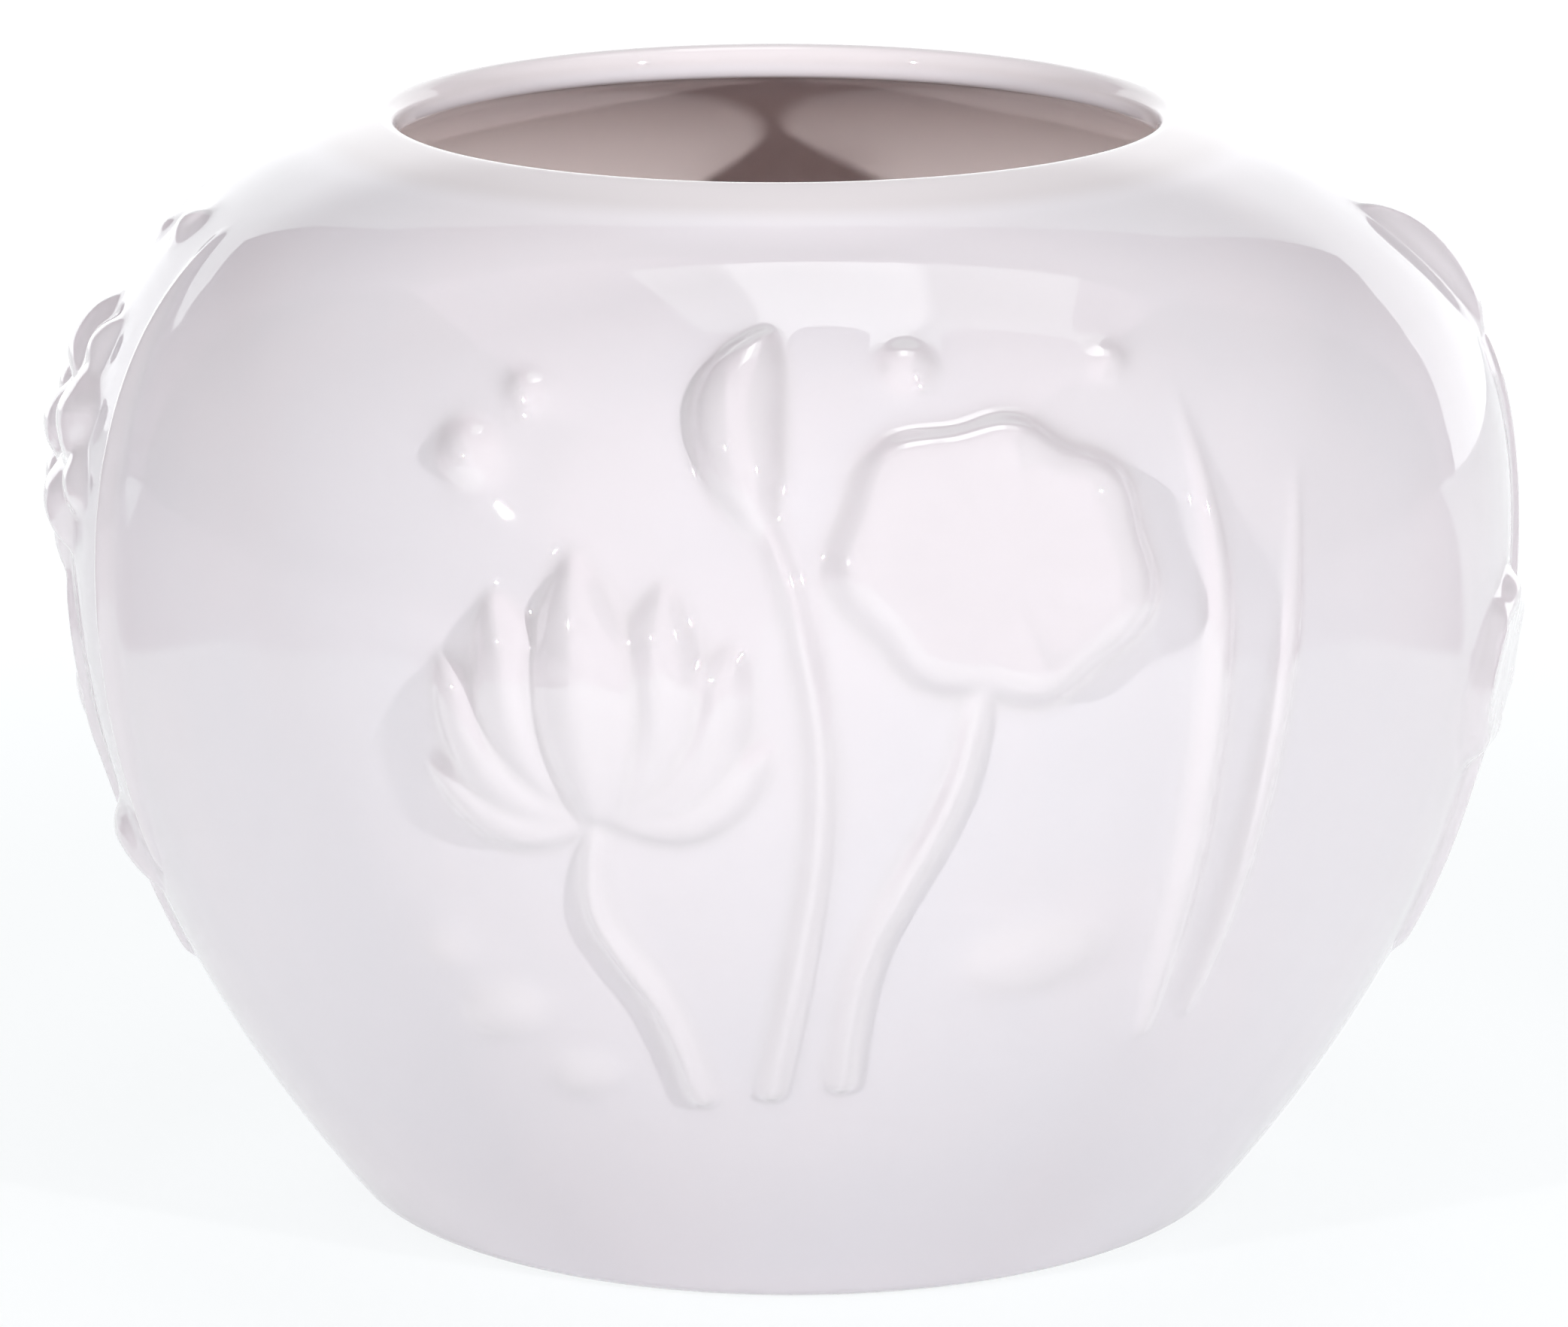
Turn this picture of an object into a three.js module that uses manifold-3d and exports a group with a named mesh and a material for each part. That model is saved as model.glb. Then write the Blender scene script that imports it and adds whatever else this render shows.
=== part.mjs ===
// Fishbowl vase in white porcelain: a wide bowl with a drawn-in mouth and a lotus pond in
// low relief. Each leaf, petal, stem and drop is pressed by itself, bent round the bowl and
// seated on its wall. Millimetres, +Z up, the foot stands on Z = 0, the front faces -Y.

import * as THREE from 'three';
import Module from 'manifold-3d';
import { mergeVertices } from 'three/addons/utils/BufferGeometryUtils.js';

const wasm = await Module();
wasm.setup();

const radians = THREE.MathUtils.degToRad;

// Driving dimensions of the bowl. A pull is how far a curve keeps the direction it has at
// its end before it bends away.

const bellyRadius = 145;
const bellyHeight = 136.4;
const mouthRadius = 76;
const rimHeight = 219.8;
const rimSlope = radians(16.5);
const rimPull = 45.2;
const shoulderPull = 46.3;
const flankPull = 52.3;
const footPull = 45.3;
const footSlope = radians(51.2);
const footRadius = 84.8;
const footRound = 8;
const footRingWidth = 7;
const footRecess = 2.5;
const recessBevel = 1.5;
const wall = 6.2;
const floorThickness = 6.5;
const floorBlend = 16;

// The mouth was trimmed by hand and sits this far to one side. The lean fades towards the
// belly, and the higher its power the nearer to the mouth it stays.
const mouthShift = -3;
const mouthShiftPower = 4;

// Driving dimensions of the relief

const seatGap = 0.3;
const edgeThickness = 0.7;
const stemHalfWidth = 1.8;
const stemRootWidening = 1.2;
const stemTopNarrowing = 0.85;

// The motifs are drawn in units of this length.
const drawingUnit = 1;

// They are drawn for a wall that runs this far from the belly up to the lip and down to the
// foot, and stretch with the bowl.
const drawnShoulder = 116;
const drawnFlank = 147;

// Ridges: the power of the slope from crest to edge, and the part of it that a petal has
const ridgePower = 1.2;
const petalRidgeShare = 0.2;

// Leaves seen from above: waves round the edge, a rim that rolls over, a dimple in the middle
const leafWaves = 7;
const leafWaveDepth = 0.045;
const leafRipple = 0.12;
const leafRollStart = 0.8;
const leafDimple = 0.32;

// Drops and pebbles: the lower the number, the flatter the top
const domeFullness = 0.8;

// Steps of the facets

const bowlSegments = 64;
const flankSteps = 8;
const shoulderSteps = 9;
const lipSteps = 6;
const footSteps = 2;
const insideSteps = 11;
const cornerSteps = 2;
const stepsPerStretch = 3;
const petalSteps = 7;
const leafSides = 35;
const domeSides = 12;

// A cutter reaches from inside the wall to above every motif.
const cutterDepth = 3;
const cutterHeight = 20;

// Corners nearer than this are one corner.
const weldDistance = 1e-5;

const porcelain = { color: 0xf0eef0, roughness: 0.12, metalness: 0 };

// Outline of the bowl: the flank rises from the foot to the belly, and the shoulder draws
// in from the belly to the lip. The wall stands upright where they meet at the belly.

const lipRound = wall / 2;
const lipCentre = new THREE.Vector2(mouthRadius + lipRound, rimHeight - lipRound);
const rimOut = new THREE.Vector2(Math.sin(rimSlope), Math.cos(rimSlope));
const shoulderEnd = lipCentre.clone().addScaledVector(rimOut, lipRound);
const belly = new THREE.Vector2(bellyRadius, bellyHeight);
const footCentre = new THREE.Vector2(footRadius, footRound);
const footOut = new THREE.Vector2(Math.sin(footSlope), -Math.cos(footSlope));
const flankStart = footCentre.clone().addScaledVector(footOut, footRound);

const flank = new THREE.CubicBezierCurve(
  flankStart,
  new THREE.Vector2(
    flankStart.x + footPull * Math.cos(footSlope),
    flankStart.y + footPull * Math.sin(footSlope),
  ),
  new THREE.Vector2(bellyRadius, bellyHeight - flankPull),
  belly,
);
const shoulder = new THREE.CubicBezierCurve(
  belly,
  new THREE.Vector2(bellyRadius, bellyHeight + shoulderPull),
  new THREE.Vector2(
    shoulderEnd.x + rimPull * Math.cos(rimSlope),
    shoulderEnd.y - rimPull * Math.sin(rimSlope),
  ),
  shoulderEnd,
);
const outline = new THREE.CurvePath();
outline.add(flank);
outline.add(shoulder);
const outlineLength = outline.getLength();
const flankLength = flank.getLength();
const shoulderLength = shoulder.getLength();

function outlineFrame(arc) {
  const share = THREE.MathUtils.clamp(arc / outlineLength, 0, 1);
  const point = outline.getPoint(share);
  const along = outline.getTangent(share);
  return { point, along, out: new THREE.Vector2(along.y, -along.x) };
}

function insidePoint(arc) {
  const { point, out } = outlineFrame(arc);
  return point.clone().addScaledVector(out, -wall);
}

function leanTowardsMouth(point) {
  const share = THREE.MathUtils.smoothstep(point.z, bellyHeight, rimHeight);
  point.x += mouthShift * share ** mouthShiftPower;
  return point;
}

function arcPoints(centre, radius, from, to, steps) {
  return Array.from({ length: steps - 1 }, (_, i) => {
    const angle = from + ((to - from) * (i + 1)) / steps;
    return new THREE.Vector2(
      centre.x + radius * Math.cos(angle),
      centre.y + radius * Math.sin(angle),
    );
  });
}

// The section runs from the middle of the underside, round the foot ring, up the outside,
// over the lip and down the inside to the middle of the floor.
function bowlSection() {
  const floorTop = footRecess + floorThickness;
  const ringInner = footRadius - footRingWidth;
  const quarter = Math.PI / 2;
  const underside = [
    new THREE.Vector2(0, footRecess),
    new THREE.Vector2(ringInner - recessBevel, footRecess),
    new THREE.Vector2(ringInner, 0),
    new THREE.Vector2(footRadius, 0),
    ...arcPoints(footCentre, footRound, -quarter, footSlope - quarter, footSteps),
  ];
  const outside = [
    ...flank.getSpacedPoints(flankSteps),
    ...shoulder.getSpacedPoints(shoulderSteps).slice(1),
  ];
  const lipStart = quarter - rimSlope;
  const lip = arcPoints(lipCentre, lipRound, lipStart, lipStart + Math.PI, lipSteps);
  const inside = Array.from({ length: insideSteps + 1 }, (_, i) => (
    insidePoint(THREE.MathUtils.lerp(outlineLength, floorBlend, i / insideSteps))
  ));
  const blendStart = insidePoint(floorBlend);
  const { along } = outlineFrame(floorBlend);
  const corner = blendStart.clone();
  corner.addScaledVector(along, (floorTop - blendStart.y) / along.y);
  const floorEdge = new THREE.Vector2(corner.x - corner.distanceTo(blendStart), floorTop);
  const blend = new THREE.QuadraticBezierCurve(blendStart, corner, floorEdge);
  return [
    ...underside,
    ...outside,
    ...lip,
    ...inside,
    ...blend.getPoints(cornerSteps).slice(1),
    new THREE.Vector2(0, floorTop),
  ];
}

function bowl() {
  const geometry = new THREE.LatheGeometry(bowlSection(), bowlSegments);
  geometry.rotateX(Math.PI / 2);
  const position = geometry.getAttribute('position');
  const point = new THREE.Vector3();
  for (let i = 0; i < position.count; i += 1) {
    leanTowardsMouth(point.fromBufferAttribute(position, i));
    position.setXYZ(i, point.x, point.y, point.z);
  }
  return geometry;
}

// A panel is a flat working plane laid on the bowl at a turn round it: x runs to the right
// round the bowl, y runs up the wall from the belly, and lift stands off the wall.
function onBowl(panelTurn, x, y, lift) {
  const stretch = y > 0 ? shoulderLength / drawnShoulder : flankLength / drawnFlank;
  const { point, out } = outlineFrame(flankLength + y * stretch);
  const radius = point.x + out.x * lift;
  const angle = panelTurn + x / point.x;
  return leanTowardsMouth(new THREE.Vector3(
    radius * Math.sin(angle),
    -radius * Math.cos(angle),
    point.y + out.y * lift,
  ));
}

// Joins rings of points into one closed body. Each end is closed by a fan to one point.
function sealed(rings, first, last) {
  const sides = rings[0].length;
  const points = [first, ...rings.flat(), last];
  const top = 1 + (rings.length - 1) * sides;
  const faces = [];
  for (let j = 0; j < sides; j += 1) {
    const next = (j + 1) % sides;
    faces.push(0, 1 + next, 1 + j);
    for (let here = 1; here < top; here += sides) {
      const above = here + sides;
      faces.push(here + j, here + next, above + j);
      faces.push(here + next, above + next, above + j);
    }
    faces.push(top + j, top + next, points.length - 1);
  }
  const positions = points.flatMap((point) => point.toArray());
  const geometry = new THREE.BufferGeometry();
  geometry.setAttribute('position', new THREE.Float32BufferAttribute(positions, 3));
  geometry.setIndex(faces);
  return geometry;
}

// Pad: a motif with a closed outline round a centre, such as a leaf, a drop or a pebble.
// reach(angle) is how far the outline lies from the centre, and rise(share, angle) is the
// height at a share of that distance. A cutter is the outline alone, grown by a spare rim.
function padGeometry({ panel, x, y, sides, reach, rise, rings, seatRings }) {
  const centre = new THREE.Vector2(x, y).multiplyScalar(drawingUnit);
  const place = (share, angle, spare, lift) => {
    const distance = (reach(angle) + spare) * share;
    const pointX = centre.x + distance * Math.cos(angle);
    const pointY = centre.y + distance * Math.sin(angle);
    return onBowl(panel, pointX, pointY, lift);
  };
  const ring = (share, spare, liftAt) => Array.from({ length: sides }, (_, j) => {
    const angle = (2 * Math.PI * j) / sides;
    return place(share, angle, spare, liftAt(angle));
  });
  const topLift = (share, angle) => seatGap + edgeThickness + rise(share, angle);
  return {
    body: () => sealed(
      [
        ...seatRings.map((share) => ring(share, 0, () => seatGap)),
        ...rings.map((share) => ring(share, 0, (angle) => topLift(share, angle))),
      ],
      place(0, 0, 0, seatGap),
      place(0, 0, 0, topLift(0, 0)),
    ),
    cutter: (spare) => sealed(
      [ring(1, spare, () => -cutterDepth), ring(1, spare, () => cutterHeight)],
      place(0, 0, 0, -cutterDepth),
      place(0, 0, 0, cutterHeight),
    ),
  };
}

// Strip: a motif that follows a path on the panel, such as a stem, a blade or a petal.
// halfWidth(t) and height(t) run along the path, and section(v) runs from edge to edge.
function stripGeometry({ panel, path, steps, halfWidth, height, section, across, under }) {
  const loft = (spare, topLift, underLift) => {
    const crossings = Array.from({ length: steps + 1 }, (_, i) => {
      const t = i / steps;
      const along = path.getTangentAt(t);
      const side = new THREE.Vector2(along.y, -along.x);
      const stretch = spare * (i === steps) - spare * (i === 0);
      const middle = path.getPointAt(t).addScaledVector(along, stretch);
      const place = (v, lift) => {
        const spot = middle.clone().addScaledVector(side, v * (halfWidth(t) + spare));
        return onBowl(panel, spot.x, spot.y, lift);
      };
      return {
        loop: [
          ...across.map((v) => place(v, topLift(t, v))),
          ...under.map((v) => place(v, underLift)),
        ],
        core: place(0, (topLift(t, 0) + underLift) / 2),
      };
    });
    return sealed(crossings.map(({ loop }) => loop), crossings[0].core, crossings[steps].core);
  };
  return {
    body: () => loft(0, (t, v) => seatGap + edgeThickness + height(t) * section(v), seatGap),
    cutter: (spare) => loft(spare, () => cutterHeight, -cutterDepth),
  };
}

function toSolid(geometry) {
  geometry.deleteAttribute('normal');
  geometry.deleteAttribute('uv');
  const merged = mergeVertices(geometry, weldDistance);
  return new wasm.Manifold(new wasm.Mesh({
    numProp: 3,
    vertProperties: new Float32Array(merged.getAttribute('position').array),
    triVerts: new Uint32Array(merged.getIndex().array),
  }));
}

function toGeometry(solid) {
  const mesh = solid.getMesh();
  const geometry = new THREE.BufferGeometry();
  geometry.setAttribute('position', new THREE.BufferAttribute(mesh.vertProperties, 3));
  geometry.setIndex(new THREE.BufferAttribute(mesh.triVerts, 1));
  return geometry;
}

// What lies behind another motif is cut back to that motif's outline plus the seat gap,
// and the crumbs that the cut leaves over are dropped.
function cutBehind(motif, inFront) {
  let solid = toSolid(motif.body());
  for (const other of inFront) {
    solid = solid.subtract(toSolid(other.cutter(seatGap)));
  }
  const [largest] = solid.decompose().sort((a, b) => b.volume() - a.volume());
  return toGeometry(largest);
}

const part = new THREE.Group();

function addNode(name, geometry) {
  const mesh = new THREE.Mesh(geometry, new THREE.MeshStandardMaterial(porcelain));
  mesh.name = name;
  part.add(mesh);
}

function addMotif(name, motif, inFront = []) {
  addNode(name, inFront.length > 0 ? cutBehind(motif, inFront) : motif.body());
}

// Sections and swellings that the motifs share. A swelling rises and falls as a sine does,
// and starts and ends part of the way through its half turn.

const roundSection = (v) => Math.sqrt(Math.max(0, 1 - v ** 2));
const ridgeSection = (v) => 1 - Math.abs(v) ** ridgePower;
const petalSection = (v) => (
  THREE.MathUtils.lerp(roundSection(v), ridgeSection(v), petalRidgeShare)
);
const swelling = ({ start, end, power }) => (t) => (
  Math.sin(Math.PI * THREE.MathUtils.lerp(start, end, t)) ** power
);
const stemSwelling = swelling({ start: 0.2, end: 0.8, power: 0.6 });
const bladeSpread = swelling({ start: 0.12, end: 0.98, power: 0.8 });
const bladeSwelling = swelling({ start: 0.1, end: 0.95, power: 1 });
const petalSpread = swelling({ start: 0.1, end: 0.98, power: 0.75 });
const petalSwelling = swelling({ start: 0.14, end: 0.94, power: 0.7 });

const fiveAcross = [-1, -0.5, 0, 0.5, 1];
const threeAcross = [-1, 0, 1];
const twoUnder = [1, -1];
const threeUnder = [1, 0, -1];

function pathThrough(points) {
  return new THREE.SplineCurve(points.map(([x, y]) => (
    new THREE.Vector2(x, y).multiplyScalar(drawingUnit)
  )));
}

function stem(panel, points, height) {
  return stripGeometry({
    panel,
    path: pathThrough(points),
    steps: stepsPerStretch * points.length,
    halfWidth: (t) => (
      stemHalfWidth * THREE.MathUtils.lerp(stemTopNarrowing, stemRootWidening, t)
    ),
    height: (t) => height * drawingUnit * stemSwelling(t),
    section: roundSection,
    across: threeAcross,
    under: twoUnder,
  });
}

function blade(panel, points, halfWide, height) {
  return stripGeometry({
    panel,
    path: pathThrough(points),
    steps: stepsPerStretch * points.length,
    halfWidth: (t) => halfWide * drawingUnit * bladeSpread(t),
    height: (t) => height * drawingUnit * bladeSwelling(t),
    section: ridgeSection,
    across: threeAcross,
    under: twoUnder,
  });
}

// A petal is an almond: narrow at its base, full past the middle and pointed at its tip.
function petal(panel, points, halfWide, height) {
  return stripGeometry({
    panel,
    path: pathThrough(points),
    steps: petalSteps,
    halfWidth: (t) => halfWide * drawingUnit * petalSpread(t),
    height: (t) => height * drawingUnit * petalSwelling(t),
    section: petalSection,
    across: fiveAcross,
    under: threeUnder,
  });
}

function ovalReach(halfWide, halfHigh, turn) {
  return (angle) => {
    const alongWidth = Math.cos(angle - turn) / halfWide;
    const alongHeight = Math.sin(angle - turn) / halfHigh;
    return drawingUnit / Math.hypot(alongWidth, alongHeight);
  };
}

function leaf({ panel, x, y, halfWide, halfHigh, turn, height }) {
  const oval = ovalReach(halfWide, halfHigh, turn);
  const wave = (angle) => Math.cos(leafWaves * (angle - turn));
  return padGeometry({
    panel,
    x,
    y,
    sides: leafSides,
    reach: (angle) => oval(angle) * (1 + leafWaveDepth * wave(angle)),
    rise: (share, angle) => {
      const dish = THREE.MathUtils.lerp(leafDimple, 1, share ** 2);
      const rolled = Math.max(0, share - leafRollStart) / (1 - leafRollStart);
      const ripple = 1 + leafRipple * share * wave(angle);
      return height * drawingUnit * dish * ripple * Math.sqrt(1 - rolled ** 2);
    },
    rings: [1, 0.95, 0.8, 0.5, 0.2],
    seatRings: [0.5, 1],
  });
}

function dome({ panel, x, y, halfWide, halfHigh = halfWide, turn = 0, height }) {
  const topHeight = height * drawingUnit - edgeThickness;
  return padGeometry({
    panel,
    x,
    y,
    sides: domeSides,
    reach: ovalReach(halfWide, halfHigh, turn),
    rise: (share) => topHeight * (1 - share ** 2) ** domeFullness,
    rings: [1, 0.85, 0.5],
    seatRings: [1],
  });
}

function addDomes(panel, name, domes) {
  domes.forEach((size, i) => addMotif(`${name}_${i + 1}`, dome({ panel, ...size })));
}

// Petals fan out from the base of a flower that is seen from the side. Those named first
// lie in front, and each later one is cut back behind them.
function addFlower(name, { panel, x, y, tilt, fan }) {
  const inFront = [];
  fan.forEach(({ lean, curl, length, halfWide, height }, i) => {
    const way = (distance, degrees) => [
      x + distance * Math.sin(radians(degrees)),
      y + distance * Math.cos(radians(degrees)),
    ];
    const middle = way(length / 2, tilt + lean + curl);
    const tip = way(length, tilt + lean - curl);
    const motif = petal(panel, [[x, y], middle, tip], halfWide, height);
    addMotif(`${name}_petal_${i + 1}`, motif, inFront);
    inFront.push(motif);
  });
  return inFront;
}

// A bloom seen from above: a round heart with two layers of petals, the outer layer set
// between the petals of the inner one and cut back behind it.
function addBloom(name, { panel, x, y, heart, layers, petalCount }) {
  const heartPad = dome({ panel, x, y, ...heart });
  addMotif(`${name}_heart`, heartPad);
  const inFront = [heartPad];
  layers.forEach(({ reach, halfWide, height }, layer) => {
    for (let i = 0; i < petalCount; i += 1) {
      const turn = (2 * Math.PI * (i + layer / layers.length)) / petalCount;
      const way = (distance) => [x + distance * Math.sin(turn), y + distance * Math.cos(turn)];
      const points = [way(heart.halfWide / 2), way(reach)];
      const motif = petal(panel, points, halfWide, height);
      addMotif(`${name}_petal_${layer * petalCount + i + 1}`, motif, inFront);
      inFront.push(motif);
    }
  });
  return inFront;
}

// The bowl

addNode('vase_body', bowl());

// Front: an open leaf on the right, a flower on the left and a bud between them

const front = radians(0);

const frontLeaf = leaf({
  panel: front, x: 38, y: 24, halfWide: 31, halfHigh: 25, turn: radians(-20), height: 5.6,
});
addMotif('front_leaf', frontLeaf);
const frontLeafStem = stem(front, [[38, 24], [31, -16], [14, -52], [9, -84]], 3);
addMotif('front_leaf_stem', frontLeafStem, [frontLeaf]);

const frontFlower = addFlower('front_flower', {
  panel: front,
  x: -36,
  y: -22,
  tilt: -6,
  fan: [
    { lean: 0, curl: 0, length: 46, halfWide: 10, height: 6.6 },
    { lean: -27, curl: -4, length: 43, halfWide: 9.5, height: 5.6 },
    { lean: 27, curl: 4, length: 43, halfWide: 9.5, height: 5.6 },
    { lean: -54, curl: -8, length: 40, halfWide: 8.5, height: 4.6 },
    { lean: 54, curl: 8, length: 40, halfWide: 8.5, height: 4.6 },
    { lean: -86, curl: -10, length: 34, halfWide: 6.5, height: 3.4 },
    { lean: 86, curl: 10, length: 34, halfWide: 6.5, height: 3.4 },
  ],
});
const frontFlowerStem = stem(front, [[-36, -22], [-37, -44], [-24, -66], [-17, -88]], 3);
addMotif('front_flower_stem', frontFlowerStem, frontFlower);

const frontBud = petal(front, [[-7, 34], [-10, 52], [-3, 70]], 8, 5.6);
addMotif('front_bud', frontBud);
const frontBudStem = stem(front, [[-7, 36], [1, 14], [5, -24], [-4, -86]], 3);
addMotif('front_bud_stem', frontBudStem, [frontBud, ...frontFlower, frontLeaf]);

addMotif('front_floating_leaf', dome({
  panel: front, x: 46, y: -56, halfWide: 15, halfHigh: 7, turn: radians(11), height: 2.6,
}));
addMotif('front_reed_1', blade(front, [[70, -78], [80, -30], [84, 14], [76, 52]], 3.4, 2.6));
addMotif('front_reed_2', blade(front, [[80, -74], [93, -34], [101, 2], [104, 34]], 3, 2.2));
addDomes(front, 'front_drop', [
  { x: 22, y: 62, halfWide: 5.2, height: 4.2 },
  { x: 62, y: 60, halfWide: 3.8, height: 3 },
  { x: -62, y: 42, halfWide: 6, height: 4.6 },
  { x: -50, y: 55, halfWide: 4, height: 3.2 },
]);
addDomes(front, 'front_pebble', [
  { x: -56, y: -70, halfWide: 9, halfHigh: 6, turn: radians(17), height: 2.6 },
  { x: -40, y: -84, halfWide: 7, halfHigh: 5, turn: radians(17), height: 2.2 },
  { x: -68, y: -57, halfWide: 6, halfHigh: 4.4, turn: radians(17), height: 2 },
]);

// Left: a bloom seen from above, its stem with two half-opened leaves, and two reeds

const left = radians(-86);

const leftBloom = addBloom('left_bloom', {
  panel: left,
  x: 0,
  y: 22,
  heart: { halfWide: 9, height: 7.6 },
  petalCount: 5,
  layers: [
    { reach: 27, halfWide: 9.5, height: 5.4 },
    { reach: 31, halfWide: 8.5, height: 3.8 },
  ],
});
const leftStem = stem(left, [[0, 0], [4, -26], [-2, -58], [6, -90]], 3);
addMotif('left_stem', leftStem, leftBloom);
const leftCurledLeaf = petal(left, [[-2, -42], [-16, -34], [-30, -42]], 6.5, 4);
addMotif('left_curled_leaf', leftCurledLeaf, [leftStem]);
const leftSideLeaf = petal(left, [[0, -66], [16, -60], [30, -68]], 6, 3.4);
addMotif('left_side_leaf', leftSideLeaf, [leftStem]);
addMotif('left_reed_1', blade(left, [[40, -60], [48, -16], [46, 28], [32, 76]], 3.4, 3));
addMotif('left_reed_2', blade(left, [[-44, -52], [-50, -8], [-44, 36], [-24, 80]], 3.4, 3));
addDomes(left, 'left_drop', [
  { x: 14, y: 72, halfWide: 5, height: 4 },
  { x: -6, y: 66, halfWide: 3.8, height: 3 },
]);

// Right: a bud that leans over the shoulder, with a small leaf beside it

const right = radians(86);

const rightBud = petal(right, [[4, 44], [0, 60], [-8, 76]], 7.4, 4.4);
addMotif('right_bud', rightBud);
const rightBudStem = stem(right, [[4, 46], [10, 10], [0, -40], [-8, -84]], 2.6);
addMotif('right_bud_stem', rightBudStem, [rightBud]);
const rightLeaf = leaf({
  panel: right, x: -26, y: -22, halfWide: 20, halfHigh: 17, turn: radians(29), height: 4,
});
addMotif('right_leaf', rightLeaf);
const rightLeafStem = stem(right, [[-26, -22], [-24, -52], [-18, -84]], 2.4);
addMotif('right_leaf_stem', rightLeafStem, [rightLeaf]);
addDomes(right, 'right_drop', [
  { x: 24, y: 30, halfWide: 5, height: 3.8 },
  { x: 32, y: 18, halfWide: 3.6, height: 2.8 },
]);

// Back: an open leaf in the middle, a seed pod on the left and a flower on the right

const back = radians(180);

const backLeaf = leaf({
  panel: back, x: -4, y: 34, halfWide: 29, halfHigh: 24, turn: radians(23), height: 5.6,
});
addMotif('back_leaf', backLeaf);
const backLeafStem = stem(back, [[-4, 34], [2, -10], [-6, -50], [-2, -86]], 3);
addMotif('back_leaf_stem', backLeafStem, [backLeaf]);
const backFlower = addFlower('back_flower', {
  panel: back,
  x: 44,
  y: -30,
  tilt: 8,
  fan: [
    { lean: 0, curl: 0, length: 40, halfWide: 9, height: 6 },
    { lean: -30, curl: -4, length: 38, halfWide: 8.5, height: 5.2 },
    { lean: 30, curl: 4, length: 38, halfWide: 8.5, height: 5.2 },
    { lean: -62, curl: -8, length: 34, halfWide: 7.4, height: 4 },
    { lean: 62, curl: 8, length: 34, halfWide: 7.4, height: 4 },
  ],
});
const backFlowerStem = stem(back, [[44, -30], [42, -50], [28, -70], [18, -88]], 3);
addMotif('back_flower_stem', backFlowerStem, backFlower);

const podHeight = 4.6;
const podWidths = { stalk: 2.4, brim: 10.8 };
const podFlare = 1.4;
const podTop = dome({
  panel: back, x: -52, y: 14, halfWide: 12, halfHigh: 4.6, turn: radians(9), height: podHeight,
});
addMotif('back_pod_top', podTop);
const podCup = stripGeometry({
  panel: back,
  path: pathThrough([[-46, -22], [-49, -4], [-52, 12]]),
  steps: petalSteps,
  halfWidth: (t) => (
    drawingUnit * THREE.MathUtils.lerp(podWidths.stalk, podWidths.brim, t ** podFlare)
  ),
  height: (t) => podHeight * drawingUnit * petalSwelling(t),
  section: roundSection,
  across: fiveAcross,
  under: threeUnder,
});
addMotif('back_pod_cup', podCup, [podTop]);
const backPodStem = stem(back, [[-46, -18], [-42, -50], [-30, -70], [-24, -88]], 3);
addMotif('back_pod_stem', backPodStem, [podCup]);
addDomes(back, 'back_pebble', [
  { x: 56, y: -76, halfWide: 8, halfHigh: 5.4, turn: radians(11), height: 2.4 },
  { x: 72, y: -62, halfWide: 6, halfHigh: 4.4, turn: radians(-11), height: 2 },
]);

export default part;
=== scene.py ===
"""Fishbowl vase in glossy white porcelain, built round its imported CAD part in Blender 4.5.

The bowl is revolved from its section. The lotus pond on its wall is modelled flat, panel by
panel, softened as glaze softens clay, and wrapped round the bowl, where each sprig becomes a
piece of its own.
"""

import math

import bpy
import numpy as np
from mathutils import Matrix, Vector


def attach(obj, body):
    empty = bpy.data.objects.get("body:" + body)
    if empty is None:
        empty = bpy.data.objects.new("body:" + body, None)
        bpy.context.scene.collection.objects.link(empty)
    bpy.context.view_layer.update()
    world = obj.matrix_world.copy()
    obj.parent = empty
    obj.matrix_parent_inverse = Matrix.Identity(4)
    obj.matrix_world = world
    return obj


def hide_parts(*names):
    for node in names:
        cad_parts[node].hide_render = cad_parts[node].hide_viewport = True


bl_info = {
    "name": "Fishbowl vase",
    "version": (1, 0, 0),
    "blender": (4, 5, 0),
    "location": "View3D > Sidebar > Vase",
    "description": "Builds a porcelain fishbowl vase with a lotus pond in low relief",
    "category": "Add Mesh",
}

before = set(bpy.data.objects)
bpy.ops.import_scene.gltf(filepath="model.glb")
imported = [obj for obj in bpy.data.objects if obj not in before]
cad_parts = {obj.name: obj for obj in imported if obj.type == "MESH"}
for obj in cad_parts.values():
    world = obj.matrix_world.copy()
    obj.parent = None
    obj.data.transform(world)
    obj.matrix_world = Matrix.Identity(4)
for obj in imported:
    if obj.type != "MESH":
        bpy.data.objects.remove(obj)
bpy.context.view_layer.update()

MM = 0.001
BODY = "root"

# Steps of the bowl's mesh

BOWL_SEGMENTS = 480
FLANK_STEPS = 52
SHOULDER_STEPS = 52
LIP_STEPS = 16
FOOT_STEPS = 8
INSIDE_STEPS = 58
CORNER_STEPS = 6
WRAP_RESOLUTION = 512
CURVE_SAMPLES = 4000
WELD_DISTANCE = 1e-6

# How far down the wall the bead under the lip reaches, where it sets in on the turn of the lip,
# and how soon behind the lip the inside's painted light, a lighter and warmer colour, is full
LIP_BEAD_REACH = 0.006
LIP_BEAD_START = 0.4
INSIDE_LIGHT_FADE = 8

# The slope from the foot's recess to its ring. Each point lies so many bevels outwards of the
# ring's inner edge, at a share of the recess's depth.
RECESS_PROFILE = ((-1.3, 1.0), (-1.0, 0.93), (-0.25, 0.16), (0.0, 0.04), (0.25, 0.0))

# Flat modelling of the relief. Lengths are in millimetres on the panel.

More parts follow.
